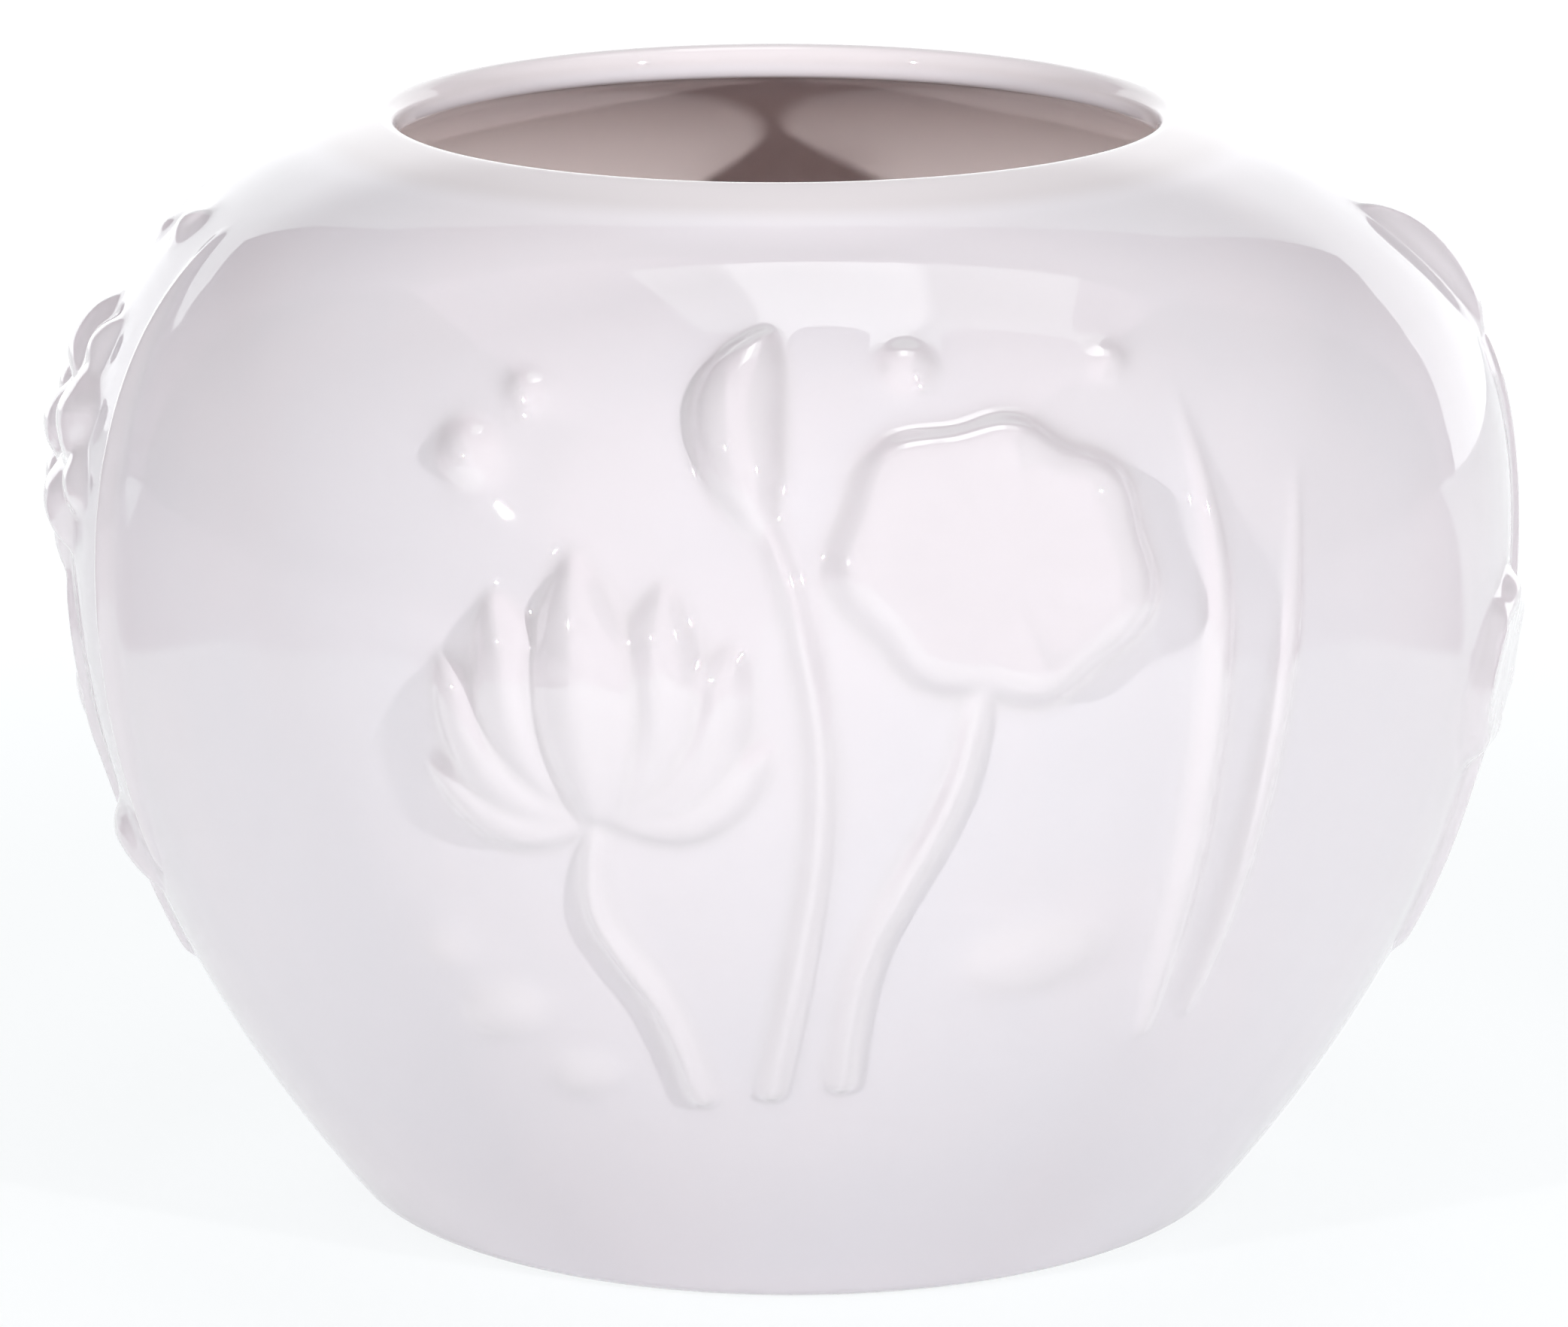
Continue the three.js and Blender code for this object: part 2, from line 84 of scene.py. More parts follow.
GRID_STEP = 0.45
GRID_MARGIN = 14.0
BLUR_REACH = 3.2
FOOT_OF_FIELD = 0.0015
SKIRT_DIP = 0.03
SEAT_DEPTH = 0.5
UNDERSIDE_DEPTH = 0.6
EDGE_HEIGHT = 1.0

# A motif is lower where it passes behind another, but keeps a least share of its height
TUCK = 1.5
TUCK_WIDTH = 2.2
TUCK_LEAST = 0.2

# Glaze pools where the relief lies lower than what is nearby, and thins out over its crests.
# The darker colour of the pools is partly painted shade in the relief's hollows and creases.
NEARBY_WIDTH = 2.0
POOLING_AND_SHADE_DEPTH = 1.0
POOLING_AND_SHADE_FADE = 0.25
CREST_HEIGHTS = (0.1, 1.2)

# Softness of the hollows on the inside of the wall
HOLLOW_SOFTNESS = 4.0


def length(name, description, default, low=0.0, high=1.0):
    """A size in metres that can be set in the sidebar."""
    return bpy.props.FloatProperty(
        name=name,
        description=description,
        default=default,
        min=low,
        max=high,
        unit="LENGTH",
        precision=4,
    )


def share(name, description, default, low=0.0, high=1.0):
    """A plain number that can be set in the sidebar."""
    return bpy.props.FloatProperty(
        name=name, description=description, default=default, min=low, max=high
    )


def slope(name, description, degrees):
    """An angle that can be set in the sidebar."""
    return bpy.props.FloatProperty(
        name=name, description=description, default=math.radians(degrees), subtype="ANGLE"
    )


def colour(name, description, default):
    """A colour that can be set in the sidebar."""
    return bpy.props.FloatVectorProperty(
        name=name, description=description, default=default, subtype="COLOR", min=0, max=1
    )


class VaseSizes(bpy.types.PropertyGroup):
    """Sizes of the bowl and of its relief."""

    belly_radius: length("Belly radius", "Widest radius of the bowl", 0.145)
    belly_height: length("Belly height", "Height of the widest place", 0.1364)
    mouth_radius: length("Mouth radius", "Inner radius of the lip", 0.076)
    rim_height: length("Rim height", "Height of the lip", 0.2198)
    rim_slope: slope("Rim slope", "How far the shoulder falls from level at the lip", 16.5)
    rim_pull: length("Rim pull", "How far the shoulder keeps the lip's slope", 0.0452)
    shoulder_pull: length("Shoulder pull", "How far it stays upright above the belly", 0.0463)
    flank_pull: length("Flank pull", "How far it stays upright below the belly", 0.0523)
    foot_pull: length("Foot pull", "How far the flank keeps the foot's slope", 0.0453)
    foot_slope: slope("Foot slope", "Slope of the flank where it leaves the foot", 51.2)
    foot_radius: length("Foot radius", "Outer radius of the flat foot ring", 0.0848)
    foot_round: length("Foot round", "Radius of the turn from foot to flank", 0.008)
    foot_ring_width: length("Foot ring width", "Width of the bare foot ring", 0.007)
    foot_recess: length("Foot recess", "Depth of the recess in the underside", 0.0025)
    recess_bevel: length("Recess bevel", "Run of the slope into the recess", 0.0015)
    wall: length("Wall", "Thickness of the wall", 0.0062)
    floor_thickness: length("Floor thickness", "Thickness of the floor", 0.0065)
    floor_blend: length("Floor blend", "How far up the wall the floor's corner starts", 0.016)
    mouth_shift: length("Mouth shift", "How far the mouth sits to one side", -0.003, -0.02, 0.02)
    mouth_shift_power: share("Shift power", "How near to the mouth the lean stays", 4, 1, 8)
    drawn_shoulder: length("Drawn shoulder", "Wall above the belly on the drawing", 0.116)
    drawn_flank: length("Drawn flank", "Wall below the belly on the drawing", 0.147)
    lip_bead: length("Lip bead", "How much thicker the wall is under the lip", 0.001)
    softness: length("Softness", "How far the glaze rounds the relief", 0.0012)
    skirt: length("Skirt", "How far the glaze runs out at the foot of the relief", 0.003)
    skirt_share: share("Skirt share", "How much of the relief lies in its skirt", 0.4)
    hollow_share: share("Hollows inside", "Depth of the hollows behind the relief", 0.6)


class VaseColours(bpy.types.PropertyGroup):
    """Colours of the glazes, the bare clay and the stage; some are painted light and shade."""

    glaze: colour("Glaze", "White glaze", (0.79, 0.748, 0.786))
    glaze_cloud: colour("Clouding", "Where the glaze lies thicker", (0.768, 0.74, 0.782))
    # Painted light: the inside of the bowl is lighter and warmer than the outside, standing in for
    # the warm light bounced round inside it.
    inside: colour("Inside", "Glaze inside the bowl", (0.88, 0.778, 0.765))
    # Painted shade: the crest of the lip is darkened to tone down the light that falls on it.
    lip: colour("Lip", "Thin glaze on the crest of the lip", (0.68, 0.635, 0.655))
    # Partly glaze pooling and partly painted shade: the relief's hollows and creases are darker.
    pool: colour("Pooling", "Glaze in the hollows of the relief", (0.735, 0.70, 0.725))
    crest: colour("Crests", "Glaze worn thin over the crests", (0.795, 0.753, 0.788))
    speck: colour("Specks", "Small specks in the glaze", (0.33, 0.27, 0.24))
    biscuit: colour("Biscuit", "Bare clay of the foot ring", (0.72, 0.68, 0.62))
    backdrop: colour("Backdrop", "Floor and backdrop", (0.973, 0.991, 1.0))
    room: colour("Room", "Room in front of the vase, seen in its gloss", (0.50, 0.40, 0.46))


# Helpers for node trees


class Wiring:
    """Adds nodes to a tree and joins them, from sockets or plain values."""

    def __init__(self, tree):
        self.tree = tree

    def node(self, kind, values=(), **settings):
        """Adds a node. values maps its input names or numbers to sockets or plain values."""
        made = self.tree.nodes.new(kind)
        for key, value in settings.items():
            setattr(made, key, value)
        for key, value in dict(values).items():
            self.put(made.inputs[key], value)
        return made

    def put(self, socket, value):
        """Links a socket to another, or sets its own value."""
        if isinstance(value, bpy.types.NodeSocket):
            self.tree.links.new(value, socket)
        else:
            socket.default_value = value

    def maths(self, operation, *values, clamp=False):
        """The result of a Math node."""
        node = self.node("ShaderNodeMath", enumerate(values), operation=operation)
        node.use_clamp = clamp
        return node.outputs[0]

    def vector(self, x, y, z):
        """A vector from its parts."""
        node = self.node("ShaderNodeCombineXYZ", {"X": x, "Y": y, "Z": z})
        return node.outputs[0]

    def parts(self, vector):
        """The three parts of a vector."""
        node = self.node("ShaderNodeSeparateXYZ", {"Vector": vector})
        return node.outputs["X"], node.outputs["Y"], node.outputs["Z"]

    def ramp(self, value, low, high):
        """0 below low and 1 above high, with a smooth turn between."""
        values = {"Value": value, "From Min": low, "From Max": high}
        node = self.node("ShaderNodeMapRange", values, interpolation_type="SMOOTHSTEP")
        return node.outputs["Result"]

    def blend(self, amount, first, second):
        """The mix of two colours."""
        node = self.node("ShaderNodeMix", data_type="RGBA")
        self.put(node.inputs["Factor"], amount)
        sides = [s for s in node.inputs if s.type == "RGBA"]
        self.put(sides[0], first)
        self.put(sides[1], second)
        return next(s for s in node.outputs if s.type == "RGBA")

    def stored(self, kind, geometry, name, value):
        """A geometry with a value stored on its points under a name."""
        values = {"Geometry": geometry, "Name": name, "Value": value}
        settings = {"data_type": kind, "domain": "POINT"}
        return self.node("GeometryNodeStoreNamedAttribute", values, **settings).outputs[0]

    def glazed(self, geometry, material):
        """A geometry shaded smooth, made real and given its material."""
        smoothed = self.node("GeometryNodeSetShadeSmooth", {"Geometry": geometry})
        real = self.node("GeometryNodeRealizeInstances", {"Geometry": smoothed.outputs[0]})
        values = {"Geometry": real.outputs[0], "Material": material}
        return self.node("GeometryNodeSetMaterial", values).outputs[0]


SOCKETS = {
    "geometry": "NodeSocketGeometry",
    "float": "NodeSocketFloat",
    "int": "NodeSocketInt",
    "vector": "NodeSocketVector",
    "colour": "NodeSocketColor",
    "material": "NodeSocketMaterial",
}


def new_tree(name, kind, inputs, outputs):
    """A node group with named sockets, its wiring, and its input and output nodes."""
    tree = bpy.data.node_groups.new(name, kind)
    for label, socket in inputs.items():
        tree.interface.new_socket(label, in_out="INPUT", socket_type=SOCKETS[socket])
    for label, socket in outputs.items():
        tree.interface.new_socket(label, in_out="OUTPUT", socket_type=SOCKETS[socket])
    wiring = Wiring(tree)
    entry = wiring.node("NodeGroupInput")
    leave = wiring.node("NodeGroupOutput")
    return tree, wiring, entry.outputs, leave.inputs


def shaped_by(obj, tree, values):
    """The plain mesh that a geometry tree makes of an object, with its inputs by name."""
    modifier = obj.modifiers.new(tree.name, "NODES")
    modifier.node_group = tree
    for item in tree.interface.items_tree:
        if item.item_type == "SOCKET" and item.in_out == "INPUT" and item.name in values:
            modifier[item.identifier] = values[item.name]
    depsgraph = bpy.context.evaluated_depsgraph_get()
    mesh = bpy.data.meshes.new_from_object(
        obj.evaluated_get(depsgraph), preserve_all_data_layers=True, depsgraph=depsgraph
    )
    obj.modifiers.remove(modifier)
    return mesh


def read_vectors(items, name, count):
    """A list of vectors of a mesh as an array with three columns."""
    values = np.zeros(count * 3, np.float32)
    items.foreach_get(name, values)
    return values.reshape(-1, 3).astype(float)


def read_numbers(mesh, name):
    """A float attribute of a mesh as an array."""
    values = np.zeros(len(mesh.vertices), np.float32)
    mesh.attributes[name].data.foreach_get("value", values)
    return values.astype(float)


def write_numbers(mesh, name, values):
    """Stores an array as a float attribute of a mesh."""
    attribute = mesh.attributes.new(name, "FLOAT", "POINT")
    attribute.data.foreach_set("value", np.asarray(values, np.float32))


def mesh_from_arrays(name, points, quads):
    """A smooth mesh from an array of points and an array of quads."""
    mesh = bpy.data.meshes.new(name)
    mesh.vertices.add(len(points))
    mesh.vertices.foreach_set("co", np.asarray(points, np.float32).ravel())
    mesh.loops.add(quads.size)
    mesh.loops.foreach_set("vertex_index", quads.astype(np.int32).ravel())
    mesh.polygons.add(len(quads))
    mesh.polygons.foreach_set("loop_start", np.arange(0, quads.size, 4, dtype=np.int32))
    mesh.update(calc_edges=True)
    mesh.validate()
    mesh.shade_smooth()
    return mesh


def into_scene(name, mesh):
    """An object with its place in its mesh, at the origin."""
    obj = bpy.data.objects.new(name, mesh)
    bpy.context.scene.collection.objects.link(obj)
    return obj


def dressed(obj, node):
    """Puts a finished piece in the place of its CAD node."""
    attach(obj, BODY)
    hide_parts(node)


# Outline of the bowl, as corner points of two curves in the plane of its section


def outline_corners(sizes):
    """The control points of the flank and the shoulder, as (radius, height), and their ends."""
    lip_round = sizes.wall / 2
    rim_out = np.array([math.sin(sizes.rim_slope), math.cos(sizes.rim_slope)])
    lip_centre = np.array([sizes.mouth_radius + lip_round, sizes.rim_height - lip_round])
    shoulder_end = lip_centre + lip_round * rim_out
    foot_out = np.array([math.sin(sizes.foot_slope), -math.cos(sizes.foot_slope)])
    foot_centre = np.array([sizes.foot_radius, sizes.foot_round])
    flank_start = foot_centre + sizes.foot_round * foot_out
    foot_along = np.array([-foot_out[1], foot_out[0]])
    rim_along = np.array([rim_out[1], -rim_out[0]])
    belly = np.array([sizes.belly_radius, sizes.belly_height])
    upright = np.array([0.0, 1.0])
    return {
        "flank": [
            flank_start,
            flank_start + sizes.foot_pull * foot_along,
            belly - sizes.flank_pull * upright,
            belly,
        ],
        "shoulder": [
            belly,
            belly + sizes.shoulder_pull * upright,
            shoulder_end + sizes.rim_pull * rim_along,
            shoulder_end,
        ],
        "lip centre": lip_centre,
        "foot centre": foot_centre,
        "rim out": rim_out,
    }


def runs_along(points):
    """The lengths of a line's pieces, and how far along it each of its points lies."""
    runs = np.linalg.norm(np.diff(points, axis=0), axis=1)
    return runs, np.concatenate([[0], np.cumsum(runs)])


def curve_places(corners, t):
    """Points and unit directions of a curve of four control points."""
    a, b, c, d = corners
    points = (1 - t) ** 3 * a + 3 * (1 - t) ** 2 * t * b + 3 * (1 - t) * t**2 * c + t**3 * d
    along = (1 - t) ** 2 * (b - a) + 2 * (1 - t) * t * (c - b) + t**2 * (d - c)
    return points, along / np.linalg.norm(along, axis=1)[:, None]


def evenly_along(corners, steps):
    """Points and unit directions at even steps along a curve, and its length."""
    t = np.linspace(0, 1, CURVE_SAMPLES)[:, None]
    _, arcs = runs_along(curve_places(corners, t)[0])
    spots = np.interp(np.linspace(0, arcs[-1], steps + 1), arcs, t[:, 0])[:, None]
    return *curve_places(corners, spots), arcs[-1]


def arc_points(centre, radius, start, end, steps):
    """Points on an arc, without its two ends."""
    angles = np.linspace(start, end, steps + 1)[1:-1, None]
    return centre + radius * np.hstack([np.cos(angles), np.sin(angles)])


def bowl_section(sizes):
    """The section from the underside's middle round the wall to the floor's middle.

    Gives its points, how far inside the bowl each one is (0 to 1), and for the inner wall
    its height on the drawing of the relief.
    """
    corners = outline_corners(sizes)
    flank, flank_along, flank_length = evenly_along(corners["flank"], FLANK_STEPS)
    shoulder, shoulder_along, _ = evenly_along(corners["shoulder"], SHOULDER_STEPS)
    quarter = math.pi / 2
    floor_top = sizes.foot_recess + sizes.floor_thickness
    ring_inner = sizes.foot_radius - sizes.foot_ring_width
    recess = [
        [ring_inner + across * sizes.recess_bevel, deep * sizes.foot_recess]
        for across, deep in RECESS_PROFILE
    ]
    flat = [[0, sizes.foot_recess], [ring_inner / 2, sizes.foot_recess]]
    underside = np.array([*flat, *recess, [sizes.foot_radius, 0]])
    foot = arc_points(
        corners["foot centre"], sizes.foot_round, -quarter, sizes.foot_slope - quarter, FOOT_STEPS
    )
    lip_start = quarter - sizes.rim_slope
    lip = arc_points(
        corners["lip centre"], sizes.wall / 2, lip_start, lip_start + math.pi, LIP_STEPS
    )
    round_lip = smooth(np.linspace(0, 1, LIP_STEPS + 1)[1:-1, None], LIP_BEAD_START, 1.0)
    lip = lip - sizes.lip_bead * round_lip * corners["rim out"]
    wall_points = np.vstack([flank, shoulder[1:]])
    wall_along = np.vstack([flank_along, shoulder_along[1:]])
    out = np.stack([wall_along[:, 1], -wall_along[:, 0]], 1)
    _, arcs = runs_along(wall_points)
    bead = sizes.lip_bead * np.exp(-(((arcs[-1] - arcs) / LIP_BEAD_REACH) ** 2))
    inner = wall_points - (sizes.wall + bead[:, None]) * out
    inner_arcs = np.linspace(arcs[-1], sizes.floor_blend, INSIDE_STEPS + 1)
    inner_points = np.stack([np.interp(inner_arcs, arcs, inner[:, i]) for i in (0, 1)], 1)
    start = inner_points[-1]
    along = np.array([np.interp(sizes.floor_blend, arcs, wall_along[:, i]) for i in (0, 1)])
    corner = start + along * (floor_top - start[1]) / along[1]
    floor_edge = np.array([corner[0] - np.linalg.norm(corner - start), floor_top])
    t = np.linspace(0, 1, CORNER_STEPS + 1)[1:, None]
    blend = (1 - t) ** 2 * start + 2 * (1 - t) * t * corner + t**2 * floor_edge
    middle = np.array([[floor_edge[0] / 2, floor_top], [0, floor_top]])
    outer = [underside, foot, wall_points, lip]
    points = np.vstack([*outer, inner_points, blend, middle])
    outer_count = sum(len(part) for part in outer)
    stretch = np.where(
        inner_arcs > flank_length,
        (arcs[-1] - flank_length) / sizes.drawn_shoulder,
        flank_length / sizes.drawn_flank,
    )
    drawn = np.zeros(len(points))
    on_drawing = (inner_arcs - flank_length) / stretch
    drawn[outer_count : outer_count + len(inner_arcs)] = on_drawing
    # How far inside the bowl each point is sets where the inside's painted light shows.
    depth = np.zeros(len(points))
    inwards = np.linspace(0, 1, len(points) - outer_count)
    depth[outer_count:] = np.minimum(1, inwards * INSIDE_LIGHT_FADE)
    return points, depth, drawn


# The inputs of the lean towards the mouth, and the sizes that they take
LEAN_INPUTS = {
    "Belly height": "belly_height",
    "Rim height": "rim_height",
    "Mouth shift": "mouth_shift",
    "Shift power": "mouth_shift_power",
}
LEAN_SOCKETS = dict.fromkeys(LEAN_INPUTS, "float")


def lean_values(sizes):
    """The values of LEAN_INPUTS."""
    return {label: getattr(sizes, name) for label, name in LEAN_INPUTS.items()}


def leaned(wiring, entry, x, y, z):
    """A place moved sideways with the mouth, the more the nearer it is to the rim."""
    rise = wiring.ramp(z, entry["Belly height"], entry["Rim height"])
    lean = wiring.maths("POWER", rise, entry["Shift power"])
    shift = wiring.maths("MULTIPLY", lean, entry["Mouth shift"])
    return wiring.vector(wiring.maths("ADD", x, shift), y, z)


def revolve_tree():
    """Geometry nodes that turn a section round the upright axis into a closed shell."""
    inputs = {"Geometry": "geometry", "Segments": "int", **LEAN_SOCKETS, "Glaze": "material"}
    outputs = {"Geometry": "geometry"}
    tree, w, entry, leave = new_tree("Revolve section", "GeometryNodeTree", inputs, outputs)
    size = w.node("GeometryNodeAttributeDomainSize", {"Geometry": entry["Geometry"]})
    count = size.outputs["Point Count"]
    columns = w.maths("ADD", entry["Segments"], 1)
    grid = w.node("GeometryNodeMeshGrid", {"Vertices X": columns, "Vertices Y": count})
    index = w.node("GeometryNodeInputIndex").outputs[0]
    row = w.maths("FLOORED_MODULO", index, count)
    column = w.maths("FLOOR", w.maths("DIVIDE", index, count))
    turn = w.maths("MULTIPLY", w.maths("DIVIDE", column, entry["Segments"]), math.tau)

    def from_section(kind, value):
        values = {"Geometry": entry["Geometry"], "Value": value, "Index": row}
        return w.node("GeometryNodeSampleIndex", values, data_type=kind).outputs["Value"]

    place = w.node("GeometryNodeInputPosition").outputs[0]
    radius, _, height = w.parts(from_section("FLOAT_VECTOR", place))
    x = w.maths("MULTIPLY", radius, w.maths("SINE", turn))
    y = w.maths("MULTIPLY", radius, w.maths("MULTIPLY", w.maths("COSINE", turn), -1))
    values = {"Geometry": grid.outputs["Mesh"], "Position": leaned(w, entry, x, y, height)}
    spun = w.node("GeometryNodeSetPosition", values).outputs[0]
    for name in ("inside", "drawn"):
        read = w.node("GeometryNodeInputNamedAttribute", {"Name": name}, data_type="FLOAT")
        value = from_section("FLOAT", read.outputs["Attribute"])
        spun = w.stored("FLOAT", spun, name, value)
    values = {"Geometry": spun, "Distance": WELD_DISTANCE}
    sealed = w.node("GeometryNodeMergeByDistance", values).outputs[0]
    w.put(leave["Geometry"], w.glazed(sealed, entry["Glaze"]))
    return tree


def wrap_tree():
    """Geometry nodes that lay a flat drawing round the bowl.

    X runs round the bowl, Y up its wall from the belly, and Z is the lift off the wall.
    """
    corners = [f"{part} {i}" for part in ("Flank", "Shoulder") for i in range(1, 5)]
    inputs = {
        "Geometry": "geometry",
        "Panel turn": "float",
        **{name: "vector" for name in corners},
        "Drawn flank": "float",
        "Drawn shoulder": "float",
        "Resolution": "int",
        **LEAN_SOCKETS,
        "Glaze": "material",
    }
    outputs = {"Geometry": "geometry"}
    tree, w, entry, leave = new_tree("Wrap round bowl", "GeometryNodeTree", inputs, outputs)
    place = w.node("GeometryNodeInputPosition").outputs[0]
    x, y, lift = w.parts(place)

    def sampled(part, drawn_length, from_end):
        ends = ("Start", "Start Handle", "End Handle", "End")
        values = {end: entry[f"{part} {i}"] for i, end in enumerate(ends, 1)}
        values["Resolution"] = entry["Resolution"]
        curve = w.node("GeometryNodeCurvePrimitiveBezierSegment", values, mode="POSITION")
        total = w.node("GeometryNodeCurveLength", {"Curve": curve.outputs[0]}).outputs[0]
        run = w.maths("MULTIPLY", y, w.maths("DIVIDE", total, entry[drawn_length]))
        spot = w.maths("ADD", total, run) if from_end else run
        values = {"Curves": curve.outputs[0], "Length": spot}
        return w.node("GeometryNodeSampleCurve", values, mode="LENGTH").outputs

    flank = sampled("Flank", "Drawn flank", True)
    shoulder = sampled("Shoulder", "Drawn shoulder", False)
    above = w.maths("GREATER_THAN", y, 0.0)

    def chosen(name):
        values = {"Switch": above, "False": flank[name], "True": shoulder[name]}
        return w.parts(w.node("GeometryNodeSwitch", values, input_type="VECTOR").outputs[0])

    radius, _, height = chosen("Position")
    along_r, _, along_z = chosen("Tangent")
    out_r, out_z = along_z, w.maths("MULTIPLY", along_r, -1)
    reach = w.maths("MULTIPLY_ADD", out_r, lift, radius)
    top = w.maths("MULTIPLY_ADD", out_z, lift, height)
    turn = w.maths("ADD", entry["Panel turn"], w.maths("DIVIDE", x, radius))
    sine = w.maths("SINE", turn)
    back = w.maths("MULTIPLY", w.maths("COSINE", turn), -1)
    normal = w.vector(w.maths("MULTIPLY", out_r, sine), w.maths("MULTIPLY", out_r, back), out_z)
    spot = leaned(w, entry, w.maths("MULTIPLY", reach, sine), w.maths("MULTIPLY", reach, back), top)
    kept = w.stored("FLOAT_VECTOR", entry["Geometry"], "wall_normal", normal)
    laid = w.node("GeometryNodeSetPosition", {"Geometry": kept, "Position": spot}).outputs[0]
    w.put(leave["Geometry"], w.glazed(laid, entry["Glaze"]))
    return tree


def wrap_values(sizes, panel_turn, material):
    """The values of the wrapping tree's inputs."""
    corners = outline_corners(sizes)
    points = {}
    for part in ("Flank", "Shoulder"):
        for i, (radius, height) in enumerate(corners[part.lower()], 1):
            points[f"{part} {i}"] = (radius, 0.0, height)
    return {
        "Panel turn": panel_turn,
        **points,
        "Drawn flank": sizes.drawn_flank,
        "Drawn shoulder": sizes.drawn_shoulder,
        "Resolution": WRAP_RESOLUTION,
        **lean_values(sizes),
        "Glaze": material,
    }


# Finishes


GLAZE_IOR = 1.5
COAT_ROUGHNESS = 0.04
GLAZE_SURFACE = {
    "Gloss": 0.018,
    "Gloss change": 0.018,
    "Peel size": 0.0045,
    "Peel height": 0.000008,
    "Wave size": 0.05,
    "Wave height": 0.00018,
}
GLAZE_CLOUDS = {"Cloud size": 0.06, "Streak size": 0.018}
GLAZE_SPECKS = {"Spacing": 0.03, "Size": 0.00045, "Share": 0.12}

# Levels of the noise at which clouds and streaks set in, how the streaks are stretched upwards
# and their share of the clouding
CLOUD_EDGES = (0.35, 0.65)
STREAK_EDGES = (0.45, 0.75)
STREAK_STRETCH = 0.25
STREAK_SHARE = 0.25

# The smallest speck and the spread of their sizes, as shares of the size given, and the size
# of the patches of gloss, as a share of the waves' size
SPECK_LEAST = 0.4
SPECK_SPREAD = 0.8
PATCH_SIZE = 0.6

# Heights between which painted shade darkens the lip towards its crest
LIP_SHADE_HEIGHTS = (0.2145, 0.2172)

# The bare foot ring: heights between which the glaze ends, its ragged edge, and the clay
BARE_HEIGHTS = (0.0009, 0.0011)
RAGGED_SIZE = 0.004
RAGGED_HEIGHT = 0.0008
CLAY_GRAIN = 0.0007
CLAY_ROUGHNESS = 0.7


def object_place(wiring):
    """Object coordinates."""
    return wiring.node("ShaderNodeTexCoord").outputs["Object"]


def noise(wiring, place, size, detail=2.0):
    """Noise from 0 to 1 with lumps of a size in metres."""
    scale = wiring.maths("DIVIDE", 1.0, size)
    values = {"Vector": place, "Scale": scale, "Detail": detail}
    return wiring.node("ShaderNodeTexNoise", values).outputs[0]


def clouding_group():
    """Glaze that lies thicker in some places than in others."""
    inputs = {
        "Place": "vector",
        "Colour": "colour",
        "Cloud colour": "colour",
        "Cloud size": "float",
        "Streak size": "float",
    }
    outputs = {"Colour": "colour"}
    tree, w, entry, leave = new_tree("Glaze clouding", "ShaderNodeTree", inputs, outputs)
    cloud = w.ramp(noise(w, entry["Place"], entry["Cloud size"], detail=3.0), *CLOUD_EDGES)
    x, y, z = w.parts(entry["Place"])
    runs = w.vector(x, y, w.maths("MULTIPLY", z, STREAK_STRETCH))
    streak = w.ramp(noise(w, runs, entry["Streak size"]), *STREAK_EDGES)
    clouded = w.maths("MULTIPLY", cloud, 1 - STREAK_SHARE)
    amount = w.maths("MULTIPLY_ADD", streak, STREAK_SHARE, clouded)
    w.put(leave["Colour"], w.blend(amount, entry["Colour"], entry["Cloud colour"]))
    return tree


def speck_group():
    """Rare small dark specks in the glaze."""
    inputs = {"Place": "vector", "Spacing": "float", "Size": "float", "Share": "float"}
    outputs = {"Mask": "float"}
    tree, w, entry, leave = new_tree("Glaze specks", "ShaderNodeTree", inputs, outputs)
    cells = w.node("ShaderNodeTexVoronoi", {"Vector": entry["Place"]})
    w.put(cells.inputs["Scale"], w.maths("DIVIDE", 1.0, entry["Spacing"]))
    reach = w.maths("MULTIPLY", cells.outputs["Distance"], entry["Spacing"])
    pick, grade, _ = w.parts(cells.outputs["Color"])
    grade = w.maths("MULTIPLY_ADD", grade, SPECK_SPREAD, SPECK_LEAST)
    near = w.maths("LESS_THAN", reach, w.maths("MULTIPLY", entry["Size"], grade))
    chosen = w.maths("LESS_THAN", pick, entry["Share"])
    w.put(leave["Mask"], w.maths("MULTIPLY", near, chosen))
    return tree


def surface_group():
    """The skin of the glaze: its gloss, its faint peel and the slow waves of the casting."""
    inputs = {
        "Place": "vector",
        "Gloss": "float",
        "Gloss change": "float",
        "Peel size": "float",
        "Peel height": "float",
        "Wave size": "float",
        "Wave height": "float",
    }
    outputs = {"Roughness": "float", "Height": "float"}
    tree, w, entry, leave = new_tree("Glaze surface", "ShaderNodeTree", inputs, outputs)
    place = entry["Place"]
    patches = noise(w, place, w.maths("MULTIPLY", entry["Wave size"], PATCH_SIZE))
    gloss = w.maths("MULTIPLY_ADD", patches, entry["Gloss change"], entry["Gloss"])
    peel = w.maths("MULTIPLY", noise(w, place, entry["Peel size"]), entry["Peel height"])
    wave = noise(w, place, entry["Wave size"], detail=1.0)
    w.put(leave["Roughness"], gloss)
    w.put(leave["Height"], w.maths("MULTIPLY_ADD", wave, entry["Wave height"], peel))
    return tree


def placed(wiring, name, maker, values):
    """A node group, built once, placed in a material with its own values."""
    tree = bpy.data.node_groups.get(name) or maker()
    return wiring.node("ShaderNodeGroup", values, node_tree=tree).outputs


def marked(wiring, name):
    """A value that is stored on the points of a mesh."""
    return wiring.node("ShaderNodeAttribute", attribute_name=name).outputs["Fac"]


def rgba(value):
    """A colour with its alpha."""
    return (*value, 1.0)


